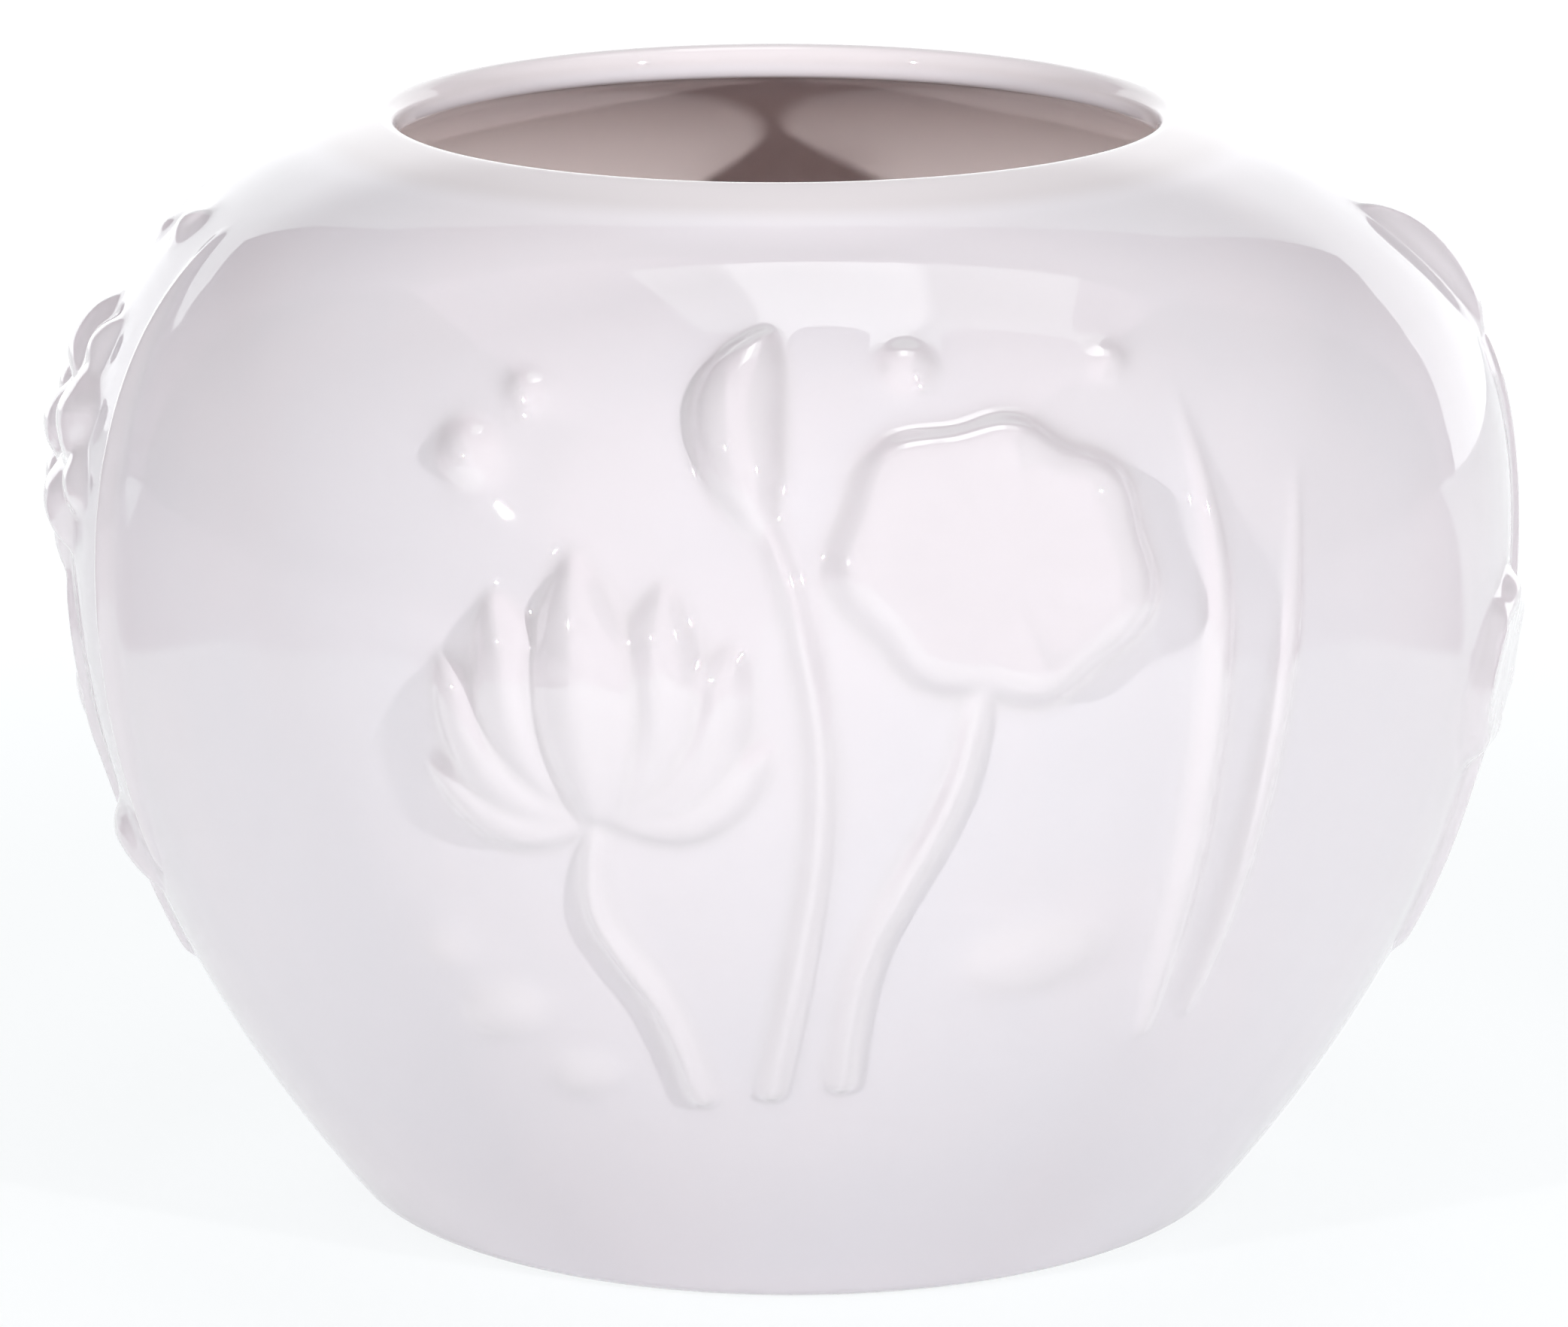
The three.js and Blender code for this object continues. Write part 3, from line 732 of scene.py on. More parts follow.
def glaze_material(name, colours, relief):
    """The gloss glaze, on the bowl or on the relief."""
    material = bpy.data.materials.new(name)
    material.use_nodes = True
    w = Wiring(material.node_tree)
    shader = material.node_tree.nodes["Principled BSDF"]
    place = object_place(w)
    height = w.parts(place)[2]
    tones = {"Colour": rgba(colours.glaze), "Cloud colour": rgba(colours.glaze_cloud)}
    values = {"Place": place, **tones, **GLAZE_CLOUDS}
    tone = placed(w, "Glaze clouding", clouding_group, values)["Colour"]
    specks = placed(w, "Glaze specks", speck_group, {"Place": place, **GLAZE_SPECKS})
    skin = placed(w, "Glaze surface", surface_group, {"Place": place, **GLAZE_SURFACE})
    roughness = skin["Roughness"]
    if relief:
        crest = marked(w, "crest")
        tone = w.blend(crest, tone, rgba(colours.crest))
        # Pooling and painted shade: darker in the relief's hollows and creases.
        tone = w.blend(marked(w, "pool"), tone, rgba(colours.pool))
        w.put(shader.inputs["Coat Weight"], crest)
    else:
        # Painted light: a lighter, warmer colour inside the bowl.
        tone = w.blend(marked(w, "inside"), tone, rgba(colours.inside))
        # Painted shade: the crest of the lip is darkened.
        tone = w.blend(w.ramp(height, *LIP_SHADE_HEIGHTS), tone, rgba(colours.lip))
    tone = w.blend(specks["Mask"], tone, rgba(colours.speck))
    if not relief:
        ragged = w.maths("MULTIPLY_ADD", noise(w, place, RAGGED_SIZE), RAGGED_HEIGHT, height)
        bare = w.maths("SUBTRACT", 1.0, w.ramp(ragged, *BARE_HEIGHTS))
        clay = w.blend(noise(w, place, CLAY_GRAIN), rgba(colours.biscuit), rgba(colours.glaze))
        tone = w.blend(bare, tone, clay)
        dull = w.maths("MULTIPLY", bare, CLAY_ROUGHNESS)
        roughness = w.maths("ADD", roughness, dull, clamp=True)
    bump = w.node("ShaderNodeBump", {"Height": skin["Height"], "Strength": 1.0, "Distance": 1.0})
    w.put(shader.inputs["Base Color"], tone)
    w.put(shader.inputs["Roughness"], roughness)
    w.put(shader.inputs["Normal"], bump.outputs["Normal"])
    shader.inputs["IOR"].default_value = GLAZE_IOR
    shader.inputs["Coat Roughness"].default_value = COAT_ROUGHNESS
    shader.inputs["Coat IOR"].default_value = GLAZE_IOR
    return material


def glaze(name, colours, relief):
    """A glaze material, built once."""
    return bpy.data.materials.get(name) or glaze_material(name, colours, relief)


# Shapes of the relief. Each motif knows the box that it lies in and gives, for places on the
# panel, whether they lie inside its outline and how high it rises there. Millimetres.


LEAF_WAVES = 7
LEAF_WAVE_DEPTH = 0.045
LEAF_RIPPLE = 0.12
LEAF_ROLL_START = 0.8
LEAF_DIMPLE = 0.32
LEAF_VEINS = 14
VEIN_HEIGHT = 0.55
VEIN_WIDTH = 0.9
LEAF_SOFTNESS = 1.25
VEIN_START = (0.06, 0.25)
VEIN_END = (0.7, 0.95)
BUTTON_HEIGHT = 0.9
BUTTON_WIDTH = 3.2
DOME_FULLNESS = 0.8
DROP_SOFTNESS = 1.4
STEM_HALF_WIDTH = 1.8
STEM_TAPER = (0.85, 0.35)
STRIP_POINTS = 48
WIDTH_SAMPLES = 40
RIDGE_POWER = 1.2
PETAL_ROUNDNESS = 0.8
PETAL_LINE_DEPTH = 0.22
PETAL_LINE_PLACE = 0.5
PETAL_LINE_WIDTH = 0.13
PETAL_RIDGE = 0.35
PETAL_RIDGE_WIDTH = 0.25
PETAL_RIDGE_START = (0.1, 0.7)
POD_RIB_HEIGHT = 0.25
POD_RIBS = 5
POD_FLARE = 1.4
HEART_SEEDS = 7
HEART_RING = 4.9

# How motifs swell from end to end: the start and end on a sine's half turn, and a power
STEM_HEIGHT = (0.2, 0.8, 0.6)
BLADE_WIDTH = (0.12, 0.98, 0.8)
BLADE_HEIGHT = (0.1, 0.95, 1)
PETAL_WIDTH = (0.1, 0.98, 0.75)
PETAL_HEIGHT = (0.14, 0.94, 0.7)


def smooth(value, low, high):
    """0 below low and 1 above high, with a smooth turn between."""
    part = np.clip((value - low) / (high - low), 0, 1)
    return part * part * (3 - 2 * part)


def swelling(t, start, end, power):
    """Rises and falls as a sine does, from start to end of its half turn."""
    return np.sin(math.pi * (start + (end - start) * t)) ** power


def round_section(v):
    """A section like half a disc."""
    return np.sqrt(np.clip(1 - v**2, 0, 1))


def ridge_section(v):
    """A section that falls from a crest."""
    return 1 - np.minimum(v, 1) ** RIDGE_POWER


def coverage(edge_distance):
    """1 inside an outline and 0 outside, with a ramp one grid step wide on it."""
    return np.clip(edge_distance / GRID_STEP + 0.5, 0, 1)


class Pad:
    """A motif with a closed outline round a centre: a leaf, a drop or a pebble."""

    def __init__(self, x, y, half_wide, half_high, turn, rise, waves=0.0, soften=1.0):
        self.x, self.y = x, y
        self.half_wide, self.half_high = half_wide, half_high
        self.turn, self.rise, self.waves = math.radians(turn), rise, waves
        self.soften = soften

    def box(self):
        """Lowest and highest corner."""
        reach = max(self.half_wide, self.half_high) * (1 + self.waves)
        return self.x - reach, self.y - reach, self.x + reach, self.y + reach

    def shape(self, x, y):
        """How far places are covered by the motif, and its rise there."""
        dx, dy = x - self.x, y - self.y
        angle = np.arctan2(dy, dx) - self.turn
        oval = 1 / np.hypot(np.cos(angle) / self.half_wide, np.sin(angle) / self.half_high)
        reach = oval * (1 + self.waves * np.cos(LEAF_WAVES * angle))
        distance = np.hypot(dx, dy)
        rise = self.rise(np.minimum(distance / reach, 1), angle, distance)
        return coverage(reach - distance), rise


class Strip:
    """A motif that follows a path: a stem, a blade or a petal."""

    soften = 1.0

    def __init__(self, path, half_width, rise):
        self.line = spline(path)
        self.half_width, self.rise = half_width, rise

    def box(self):
        """Lowest and highest corner."""
        widest = float(np.max(self.half_width(np.linspace(0, 1, WIDTH_SAMPLES))))
        low, high = self.line.min(0) - widest, self.line.max(0) + widest
        return low[0], low[1], high[0], high[1]

    def shape(self, x, y):
        """How far places are covered by the motif, and its rise there."""
        t, distance = nearest(self.line, x, y)
        half_width = self.half_width(t)
        rise = self.rise(t, np.minimum(distance / half_width, 1))
        return coverage(half_width - distance), rise


def spline(path):
    """Points on a smooth line through the points of a path."""
    points = np.array(path, float)
    last = len(points) - 1
    place = np.linspace(0, last, STRIP_POINTS)
    index = np.minimum(place.astype(int), last - 1)
    part = (place - index)[:, None]
    before, here = points[np.maximum(index - 1, 0)], points[index]
    after, beyond = points[index + 1], points[np.minimum(index + 2, last)]
    pull_in, pull_out = (after - before) / 2, (beyond - here) / 2
    return (
        (2 * here - 2 * after + pull_in + pull_out) * part**3
        + (3 * after - 3 * here - 2 * pull_in - pull_out) * part**2
        + pull_in * part
        + here
    )


def nearest(line, x, y):
    """How far along a line the nearest place on it is (0 to 1), and how far away."""
    runs, arcs = runs_along(line)
    best = np.full(x.shape, np.inf)
    spot = np.zeros(x.shape)
    for (ax, ay), (bx, by), run, arc in zip(line[:-1], line[1:], runs, arcs):
        along = ((x - ax) * (bx - ax) + (y - ay) * (by - ay)) / run**2
        along = np.clip(along, 0, 1)
        distance = np.hypot(x - ax - along * (bx - ax), y - ay - along * (by - ay))
        closer = distance < best
        best = np.where(closer, distance, best)
        spot = np.where(closer, arc + along * run, spot)
    return spot / arcs[-1], best


def leaf(x, y, half_wide, half_high, turn, height):
    """An open leaf seen from above, with a rolled rim, a dimple and raised veins."""

    def rise(part, angle, distance):
        wave = np.cos(LEAF_WAVES * angle)
        dish = LEAF_DIMPLE + (1 - LEAF_DIMPLE) * part**2
        rolled = np.clip((part - LEAF_ROLL_START) / (1 - LEAF_ROLL_START), 0, 1)
        body = height * dish * (1 + LEAF_RIPPLE * part * wave) * np.sqrt(1 - rolled**2)
        step = math.tau / LEAF_VEINS
        aside = (angle + step / 2) % step - step / 2
        vein = np.exp(-((distance * np.sin(aside) / VEIN_WIDTH) ** 2))
        shown = smooth(part, *VEIN_START) * (1 - smooth(part, *VEIN_END))
        button = BUTTON_HEIGHT * np.exp(-((distance / BUTTON_WIDTH) ** 2))
        return body + VEIN_HEIGHT * vein * shown + button

    return Pad(x, y, half_wide, half_high, turn, rise, LEAF_WAVE_DEPTH, LEAF_SOFTNESS)


def dome(x, y, half_wide, half_high, turn, height, soften=2.0):
    """A pebble or a small pad with a plain round top, that fades into the wall."""

    def rise(part, _angle, _distance):
        return (height - EDGE_HEIGHT) * (1 - part**2) ** DOME_FULLNESS

    return Pad(x, y, half_wide, half_high, turn, rise, soften=soften)


def drop(x, y, radius, height):
    """A round drop."""
    return dome(x, y, radius, radius, 0, height, DROP_SOFTNESS)


def seeded(x, y, half_wide, half_high, turn, height, seeds, bump, seed_size):
    """A pad with a few seeds on it, raised or sunk."""
    plain = dome(x, y, half_wide, half_high, turn, height, soften=1.0)

    def rise(part, angle, distance):
        across, up = distance * np.cos(angle), distance * np.sin(angle)
        total = plain.rise(part, angle, distance)
        for seed_x, seed_y in seeds:
            far = np.hypot(across - seed_x, up - seed_y)
            total = total + bump * np.exp(-((far / seed_size) ** 2))
        return total

    return Pad(x, y, half_wide, half_high, turn, rise)


def stem(path, height):
    """A round stem that widens towards its root."""
    return Strip(
        path,
        lambda t: STEM_HALF_WIDTH * (STEM_TAPER[0] + STEM_TAPER[1] * t),
        lambda t, v: height * swelling(t, *STEM_HEIGHT) * round_section(v),
    )


def blade(path, half_wide, height):
    """A reed blade with a crest along its middle."""
    return Strip(
        path,
        lambda t: half_wide * swelling(t, *BLADE_WIDTH),
        lambda t, v: height * swelling(t, *BLADE_HEIGHT) * ridge_section(v),
    )


def petal(path, half_wide, height):
    """A petal: narrow at its base, full past the middle, pointed at its tip, faintly lined."""

    def rise(t, v):
        section = PETAL_ROUNDNESS * round_section(v) + (1 - PETAL_ROUNDNESS) * ridge_section(v)
        body = height * swelling(t, *PETAL_HEIGHT) * section
        line = np.exp(-(((v - PETAL_LINE_PLACE) / PETAL_LINE_WIDTH) ** 2))
        crest = np.exp(-((v / PETAL_RIDGE_WIDTH) ** 2)) * smooth(t, *PETAL_RIDGE_START)
        return body - PETAL_LINE_DEPTH * line * np.sin(math.pi * t) + PETAL_RIDGE * crest

    return Strip(path, lambda t: half_wide * swelling(t, *PETAL_WIDTH), rise)


def pod_cup(path, stalk, brim, height):
    """The cup of a seed pod, flaring from its stalk to its brim, with faint ribs."""

    def rise(t, v):
        ribs = POD_RIB_HEIGHT * np.cos(POD_RIBS * math.pi * v) * t
        return height * swelling(t, *PETAL_HEIGHT) * round_section(v) + ribs

    return Strip(path, lambda t: stalk + (brim - stalk) * t**POD_FLARE, rise)


def flower(name, x, y, tilt, middle, pairs):
    """Petals that fan out from one base: one in front, then pairs to its left and right."""
    fan = [(0, 0, *middle)]
    for lean, curl, *form in pairs:
        fan += [(-lean, -curl, *form), (lean, curl, *form)]

    def way(distance, degrees):
        turn = math.radians(degrees)
        return x + distance * math.sin(turn), y + distance * math.cos(turn)

    petals = {}
    for i, (lean, curl, reach, half_wide, height) in enumerate(fan, 1):
        path = [(x, y), way(reach / 2, tilt + lean + curl), way(reach, tilt + lean - curl)]
        petals[f"{name}_petal_{i}"] = petal(path, half_wide, height)
    return petals


def bloom(name, x, y, heart, petal_count, layers):
    """A flower seen from above: a heart and two layers of petals."""
    half_wide, height = heart
    turns = [i * math.tau / HEART_SEEDS for i in range(HEART_SEEDS)]
    ring = [(HEART_RING * math.sin(turn), HEART_RING * math.cos(turn)) for turn in turns]
    motifs = {
        f"{name}_heart": seeded(
            x, y, half_wide, half_wide, 0, height, [(0, 0), *ring], bump=0.8, seed_size=1.25
        )
    }
    for layer, (reach, wide, high) in enumerate(layers):
        for i in range(petal_count):
            turn = math.tau * (i + layer / len(layers)) / petal_count
            way = np.array([math.sin(turn), math.cos(turn)])
            path = [way * half_wide / 2 + (x, y), way * reach + (x, y)]
            number = layer * petal_count + i + 1
            motifs[f"{name}_petal_{number}"] = petal(path, wide, high)
    return motifs


def numbered(name, motifs):
    """Like motifs, numbered from 1."""
    return {f"{name}_{i}": motif for i, motif in enumerate(motifs, 1)}


def front_motifs():
    """An open leaf on the right, a flower on the left and a bud between them."""
    return {
        "front_leaf": leaf(38, 24, 31, 25, -20, 5.6),
        **flower(
            "front_flower", -36, -22, -6, middle=(46, 10, 6.6),
            pairs=[(27, 4, 43, 9.5, 5.6), (54, 8, 40, 8.5, 4.6), (86, 10, 34, 6.5, 3.4)],
        ),
        "front_bud": petal([(-7, 34), (-10, 52), (-3, 70)], 8, 5.6),
        "front_leaf_stem": stem([(38, 24), (31, -16), (14, -52), (9, -84)], 3),
        "front_flower_stem": stem([(-36, -22), (-37, -44), (-24, -66), (-17, -88)], 3),
        "front_bud_stem": stem([(-7, 36), (1, 14), (5, -24), (-4, -86)], 3),
        "front_floating_leaf": dome(46, -56, 15, 7, 11, 2.6),
        **numbered(
            "front_reed",
            [
                blade([(70, -78), (80, -30), (84, 14), (76, 52)], 3.4, 2.6),
                blade([(80, -74), (93, -34), (101, 2), (104, 34)], 3, 2.2),
            ],
        ),
        **numbered(
            "front_drop",
            [
                drop(22, 62, 5.2, 4.2),
                drop(62, 60, 3.8, 3),
                drop(-62, 42, 6, 4.6),
                drop(-50, 55, 4, 3.2),
            ],
        ),
        **numbered(
            "front_pebble",
            [
                dome(-56, -70, 9, 6, 17, 2.6),
                dome(-40, -84, 7, 5, 17, 2.2),
                dome(-68, -57, 6, 4.4, 17, 2),
            ],
        ),
    }


def left_motifs():
    """A bloom seen from above, its stem with two half-opened leaves, and two reeds."""
    return {
        **bloom("left_bloom", 0, 22, (9, 7.6), 5, [(27, 9.5, 5.4), (31, 8.5, 3.8)]),
        "left_stem": stem([(0, 0), (4, -26), (-2, -58), (6, -90)], 3),
        "left_curled_leaf": petal([(-2, -42), (-16, -34), (-30, -42)], 6.5, 4),
        "left_side_leaf": petal([(0, -66), (16, -60), (30, -68)], 6, 3.4),
        **numbered(
            "left_reed",
            [
                blade([(40, -60), (48, -16), (46, 28), (32, 76)], 3.4, 3),
                blade([(-44, -52), (-50, -8), (-44, 36), (-24, 80)], 3.4, 3),
            ],
        ),
        **numbered("left_drop", [drop(14, 72, 5, 4), drop(-6, 66, 3.8, 3)]),
    }


def right_motifs():
    """A bud that leans over the shoulder, with a small leaf beside it."""
    return {
        "right_bud": petal([(4, 44), (0, 60), (-8, 76)], 7.4, 4.4),
        "right_leaf": leaf(-26, -22, 20, 17, 29, 4),
        "right_bud_stem": stem([(4, 46), (10, 10), (0, -40), (-8, -84)], 2.6),
        "right_leaf_stem": stem([(-26, -22), (-24, -52), (-18, -84)], 2.4),
        **numbered("right_drop", [drop(24, 30, 5, 3.8), drop(32, 18, 3.6, 2.8)]),
    }


def back_motifs():
    """An open leaf in the middle, a seed pod on the left and a flower on the right."""
    holes = [(-8, 0.2), (-4, -1.3), (-0.4, 1.0), (3.8, -1.2), (7.8, 0.4)]
    return {
        "back_leaf": leaf(-4, 34, 29, 24, 23, 5.6),
        **flower(
            "back_flower", 44, -30, 8, middle=(40, 9, 6),
            pairs=[(30, 4, 38, 8.5, 5.2), (62, 8, 34, 7.4, 4)],
        ),
        "back_pod_top": seeded(-52, 14, 12, 4.6, 9, 4.6, holes, bump=-1.0, seed_size=1.2),
        "back_pod_cup": pod_cup([(-46, -22), (-49, -4), (-52, 12)], 2.4, 10.8, 4.6),
        "back_leaf_stem": stem([(-4, 34), (2, -10), (-6, -50), (-2, -86)], 3),
        "back_flower_stem": stem([(44, -30), (42, -50), (28, -70), (18, -88)], 3),
        "back_pod_stem": stem([(-46, -18), (-42, -50), (-30, -70), (-24, -88)], 3),
        **numbered(
            "back_pebble", [dome(56, -76, 8, 5.4, 11, 2.4), dome(72, -62, 6, 4.4, -11, 2)]
        ),
    }


PANELS = {
    "front": (0, front_motifs),
    "left": (-86, left_motifs),
    "right": (86, right_motifs),
    "back": (180, back_motifs),
}


def blurred(field, width):
    """A field softened over a width given in steps of its grid."""
    reach = max(1, int(math.ceil(BLUR_REACH * width)))
    offsets = np.arange(-reach, reach + 1)
    weights = np.exp(-0.5 * (offsets / width) ** 2)
    weights /= weights.sum()
    for axis in (0, 1):
        spare = [(reach, reach) if axis == i else (0, 0) for i in (0, 1)]
        padded = np.pad(field, spare)
        size = field.shape[axis]
        total = np.zeros_like(field)
        for start, weight in enumerate(weights):
            part = [slice(None), slice(None)]
            part[axis] = slice(start, start + size)
            total += weight * padded[tuple(part)]
        field = total
    return field


class Relief:
    """The flat model of one panel: its height and, for each place, the motif that owns it."""

    def __init__(self, motifs, sizes):
        self.names = list(motifs)
        boxes = np.array([motif.box() for motif in motifs.values()])
        self.low = boxes[:, :2].min(0) - GRID_MARGIN
        high = boxes[:, 2:].max(0) + GRID_MARGIN
        columns, rows = np.ceil((high - self.low) / GRID_STEP).astype(int) + 1
        self.x = self.low[0] + GRID_STEP * np.arange(columns)
        self.y = self.low[1] + GRID_STEP * np.arange(rows)
        shape = (rows, columns)
        self.height = np.zeros(shape)
        self.owner = np.full(shape, -1)
        strongest = np.zeros(shape)
        covered = np.zeros(shape)
        soft = sizes.softness / MM / GRID_STEP
        skirt = sizes.skirt / MM / GRID_STEP
        for i, (motif, box) in enumerate(zip(motifs.values(), boxes)):
            window = self.window(box)
            x, y = np.meshgrid(self.x[window[1]], self.y[window[0]])
            cover, rise = motif.shape(x, y)
            front = covered[window]
            tuck = np.clip(1 - TUCK * blurred(front, TUCK_WIDTH / GRID_STEP), TUCK_LEAST, 1)
            raised = cover * (1 - front) * (EDGE_HEIGHT + rise * tuck)
            softened = (1 - sizes.skirt_share) * blurred(raised, soft * motif.soften)
            softened += sizes.skirt_share * blurred(raised, skirt * motif.soften)
            stronger = softened > strongest[window]
            self.owner[window][stronger] = i
            strongest[window][stronger] = softened[stronger]
            self.height[window] += softened
            covered[window] = np.maximum(front, cover)
        # Pooling and painted shade: darker where the relief lies lower than what is nearby.
        nearby = blurred(self.height, NEARBY_WIDTH / GRID_STEP)
        shown = np.clip(self.height / POOLING_AND_SHADE_FADE, 0, 1)
        self.pool = np.clip((nearby - self.height) / POOLING_AND_SHADE_DEPTH, 0, 1) * shown
        self.crest = smooth(self.height, *CREST_HEIGHTS)

    def window(self, box):
        """The part of the grid that a motif and its skirt lie in."""
        low = np.floor((box[:2] - GRID_MARGIN - self.low) / GRID_STEP).astype(int)
        high = np.ceil((box[2:] + GRID_MARGIN - self.low) / GRID_STEP).astype(int) + 1
        low = np.maximum(low, 0)
        return slice(low[1], high[1]), slice(low[0], high[0])

    def hollow(self, x, y, width):
        """The height at places on the panel, softened over a width, or 0 off the panel."""
        field = blurred(self.height, width / GRID_STEP)
        column = (x - self.x[0]) / GRID_STEP
        row = (y - self.y[0]) / GRID_STEP
        rows, columns = field.shape
        on = (column >= 0) & (column < columns - 1) & (row >= 0) & (row < rows - 1)
        c = np.clip(column, 0, columns - 2)
        r = np.clip(row, 0, rows - 2)
        c0, r0 = c.astype(int), r.astype(int)
        fc, fr = c - c0, r - r0
        low = field[r0, c0] * (1 - fc) + field[r0, c0 + 1] * fc
        high = field[r0 + 1, c0] * (1 - fc) + field[r0 + 1, c0 + 1] * fc
        return np.where(on, low * (1 - fr) + high * fr, 0.0)


reliefs = {}


def relief_of(panel, sizes):
    """The flat model of a panel, worked out once."""
    if panel not in reliefs:
        reliefs[panel] = Relief(PANELS[panel][1](), sizes)
    return reliefs[panel]


def grown(mask):
    """A mask grown by one step all round."""
    padded = np.pad(mask, 1)
    rows, columns = mask.shape
    total = np.zeros_like(mask)
    for i in range(3):
        for j in range(3):
            total |= padded[i : i + rows, j : j + columns]
    return total


def sheet_quads(numbers):
    """Quads of a grid of vertex numbers, turned outwards."""
    return np.stack([numbers[:-1, :-1], numbers[:-1, 1:], numbers[1:, 1:], numbers[1:, :-1]], -1)


def wrapped_sheet(panel, relief, sizes, material):
    """The whole panel wrapped round the bowl: places, normals and normals of the wall."""
    x, y = np.meshgrid(relief.x * MM, relief.y * MM)
    points = np.stack([x, y, relief.height * MM], -1).reshape(-1, 3)
    numbers = np.arange(len(points)).reshape(relief.height.shape)
    flat = mesh_from_arrays("flat_relief", points, sheet_quads(numbers).reshape(-1, 4))
    obj = into_scene("flat_relief", flat)
    tree = bpy.data.node_groups.get("Wrap round bowl") or wrap_tree()
    turn = math.radians(PANELS[panel][0])
    mesh = shaped_by(obj, tree, wrap_values(sizes, turn, material))
    bpy.data.objects.remove(obj)
    count = len(mesh.vertices)
    places = read_vectors(mesh.vertices, "co", count)
    normals = read_vectors(mesh.vertex_normals, "vector", count)
    walls = read_vectors(mesh.attributes["wall_normal"].data, "vector", count)
    bpy.data.meshes.remove(mesh)
    bpy.data.meshes.remove(flat)
    return places, normals, walls


def sprig(name, own, relief, sheet, material):
    """One motif as a closed piece, with a skirt that dips into the wall."""
    places, normals, walls = sheet
    first = grown(own) & ~own
    area = grown(grown(own))
    cells = area[:-1, :-1] & area[:-1, 1:] & area[1:, 1:] & area[1:, :-1]
    touched = np.zeros(area.shape, int)
    for i in (0, 1):
        for j in (0, 1):
            touched[i : i + cells.shape[0], j : j + cells.shape[1]] += cells
    border = (touched > 0) & (touched < 4)
    dip = relief.height + SEAT_DEPTH
    dip[own] = FOOT_OF_FIELD
    dip[first] = SKIRT_DIP
    dip[border] = relief.height[border] + SEAT_DEPTH
    top = np.full(area.shape, -1)
    top[touched > 0] = np.arange(np.count_nonzero(touched))
    inner = touched == 4
    under = top.copy()
    under[inner] = np.count_nonzero(touched) + np.arange(np.count_nonzero(inner))
    on_top, below = (touched > 0).ravel(), inner.ravel()
    points = np.vstack(
        [
            places[on_top] - walls[on_top] * dip.ravel()[on_top, None] * MM,
            places[below]
            - walls[below] * (relief.height.ravel()[below, None] + UNDERSIDE_DEPTH) * MM,
        ]
    )
    faces = sheet_quads(top)[cells]
    undersides = sheet_quads(under)[cells][:, ::-1]
    mesh = mesh_from_arrays(name, points, np.vstack([faces, undersides]))
    facing = np.vstack([normals[on_top], -walls[below]])
    mesh.normals_split_custom_set_from_vertices([tuple(n) for n in facing])
    for label, field in (("pool", relief.pool), ("crest", relief.crest)):
        values = field.ravel()
        write_numbers(mesh, label, np.concatenate([values[on_top], values[below]]))
    mesh.materials.append(material)
    return into_scene(name, mesh)


def build_relief(context, panel):
    """All sprigs of one panel."""
    sizes, colours = context.scene.vase_sizes, context.scene.vase_colours
    material = glaze("relief_glaze", colours, relief=True)
    relief = relief_of(panel, sizes)
    sheet = wrapped_sheet(panel, relief, sizes, material)
    raised = relief.height > FOOT_OF_FIELD
    for i, node in enumerate(relief.names):
        piece = sprig(f"{node}_sprig", raised & (relief.owner == i), relief, sheet, material)
        dressed(piece, node)


def sink_hollows(mesh, sizes):
    """Presses soft hollows into the inner wall behind the relief."""
    count = len(mesh.vertices)
    places = read_vectors(mesh.vertices, "co", count)
    normals = read_vectors(mesh.vertex_normals, "vector", count)
    drawn = read_numbers(mesh, "drawn") / MM
    angle = np.arctan2(places[:, 0], -places[:, 1])
    radius = np.hypot(places[:, 0], places[:, 1]) + sizes.wall
    depth = np.zeros(count)
    for panel, (turn, _) in PANELS.items():
        aside = (angle - math.radians(turn) + math.pi) % math.tau - math.pi
        relief = relief_of(panel, sizes)
        depth += relief.hollow(aside * radius / MM, drawn, HOLLOW_SOFTNESS)
    depth = np.where(drawn != 0, depth, 0) * sizes.hollow_share * MM
    places -= normals * depth[:, None]
    mesh.vertices.foreach_set("co", places.astype(np.float32).ravel())
    mesh.update()


class VASE_OT_bowl(bpy.types.Operator):
    """Revolves the bowl from its section and sinks the hollows behind the relief"""

    bl_idname = "vase.bowl"
    bl_label = "Build bowl"

    def execute(self, context):
        """Builds the bowl in the place of its CAD node."""
        sizes, colours = context.scene.vase_sizes, context.scene.vase_colours
        points, depth, drawn = bowl_section(sizes)
        line = bpy.data.meshes.new("bowl_section")
        corners = np.stack([points[:, 0], np.zeros(len(points)), points[:, 1]], 1)
        edges = [(i, i + 1) for i in range(len(points) - 1)]
        line.from_pydata(corners.tolist(), edges, [])
        write_numbers(line, "inside", depth)
        write_numbers(line, "drawn", drawn)
        section = into_scene("bowl_section", line)
        material = glaze("bowl_glaze", colours, relief=False)
        tree = bpy.data.node_groups.get("Revolve section") or revolve_tree()
        values = {"Segments": BOWL_SEGMENTS, **lean_values(sizes), "Glaze": material}
        mesh = shaped_by(section, tree, values)
        if len(mesh.polygons) == 0:
            raise RuntimeError("the section gave no bowl")
        bpy.data.objects.remove(section)
        bpy.data.meshes.remove(line)
        sink_hollows(mesh, sizes)
        bowl = into_scene("bowl", mesh)
        dressed(bowl, "vase_body")
        return {"FINISHED"}


class VASE_OT_front_relief(bpy.types.Operator):
    """Models the front of the pond: a flower, a bud, an open leaf, reeds, drops and pebbles"""

    bl_idname = "vase.front_relief"
    bl_label = "Build front relief"

    def execute(self, context):
        """Builds the front sprigs."""
        build_relief(context, "front")
        return {"FINISHED"}


class VASE_OT_left_relief(bpy.types.Operator):
    """Models the left of the pond: a bloom seen from above, two small leaves and reeds"""

    bl_idname = "vase.left_relief"
    bl_label = "Build left relief"

    def execute(self, context):
        """Builds the left sprigs."""
        build_relief(context, "left")
        return {"FINISHED"}


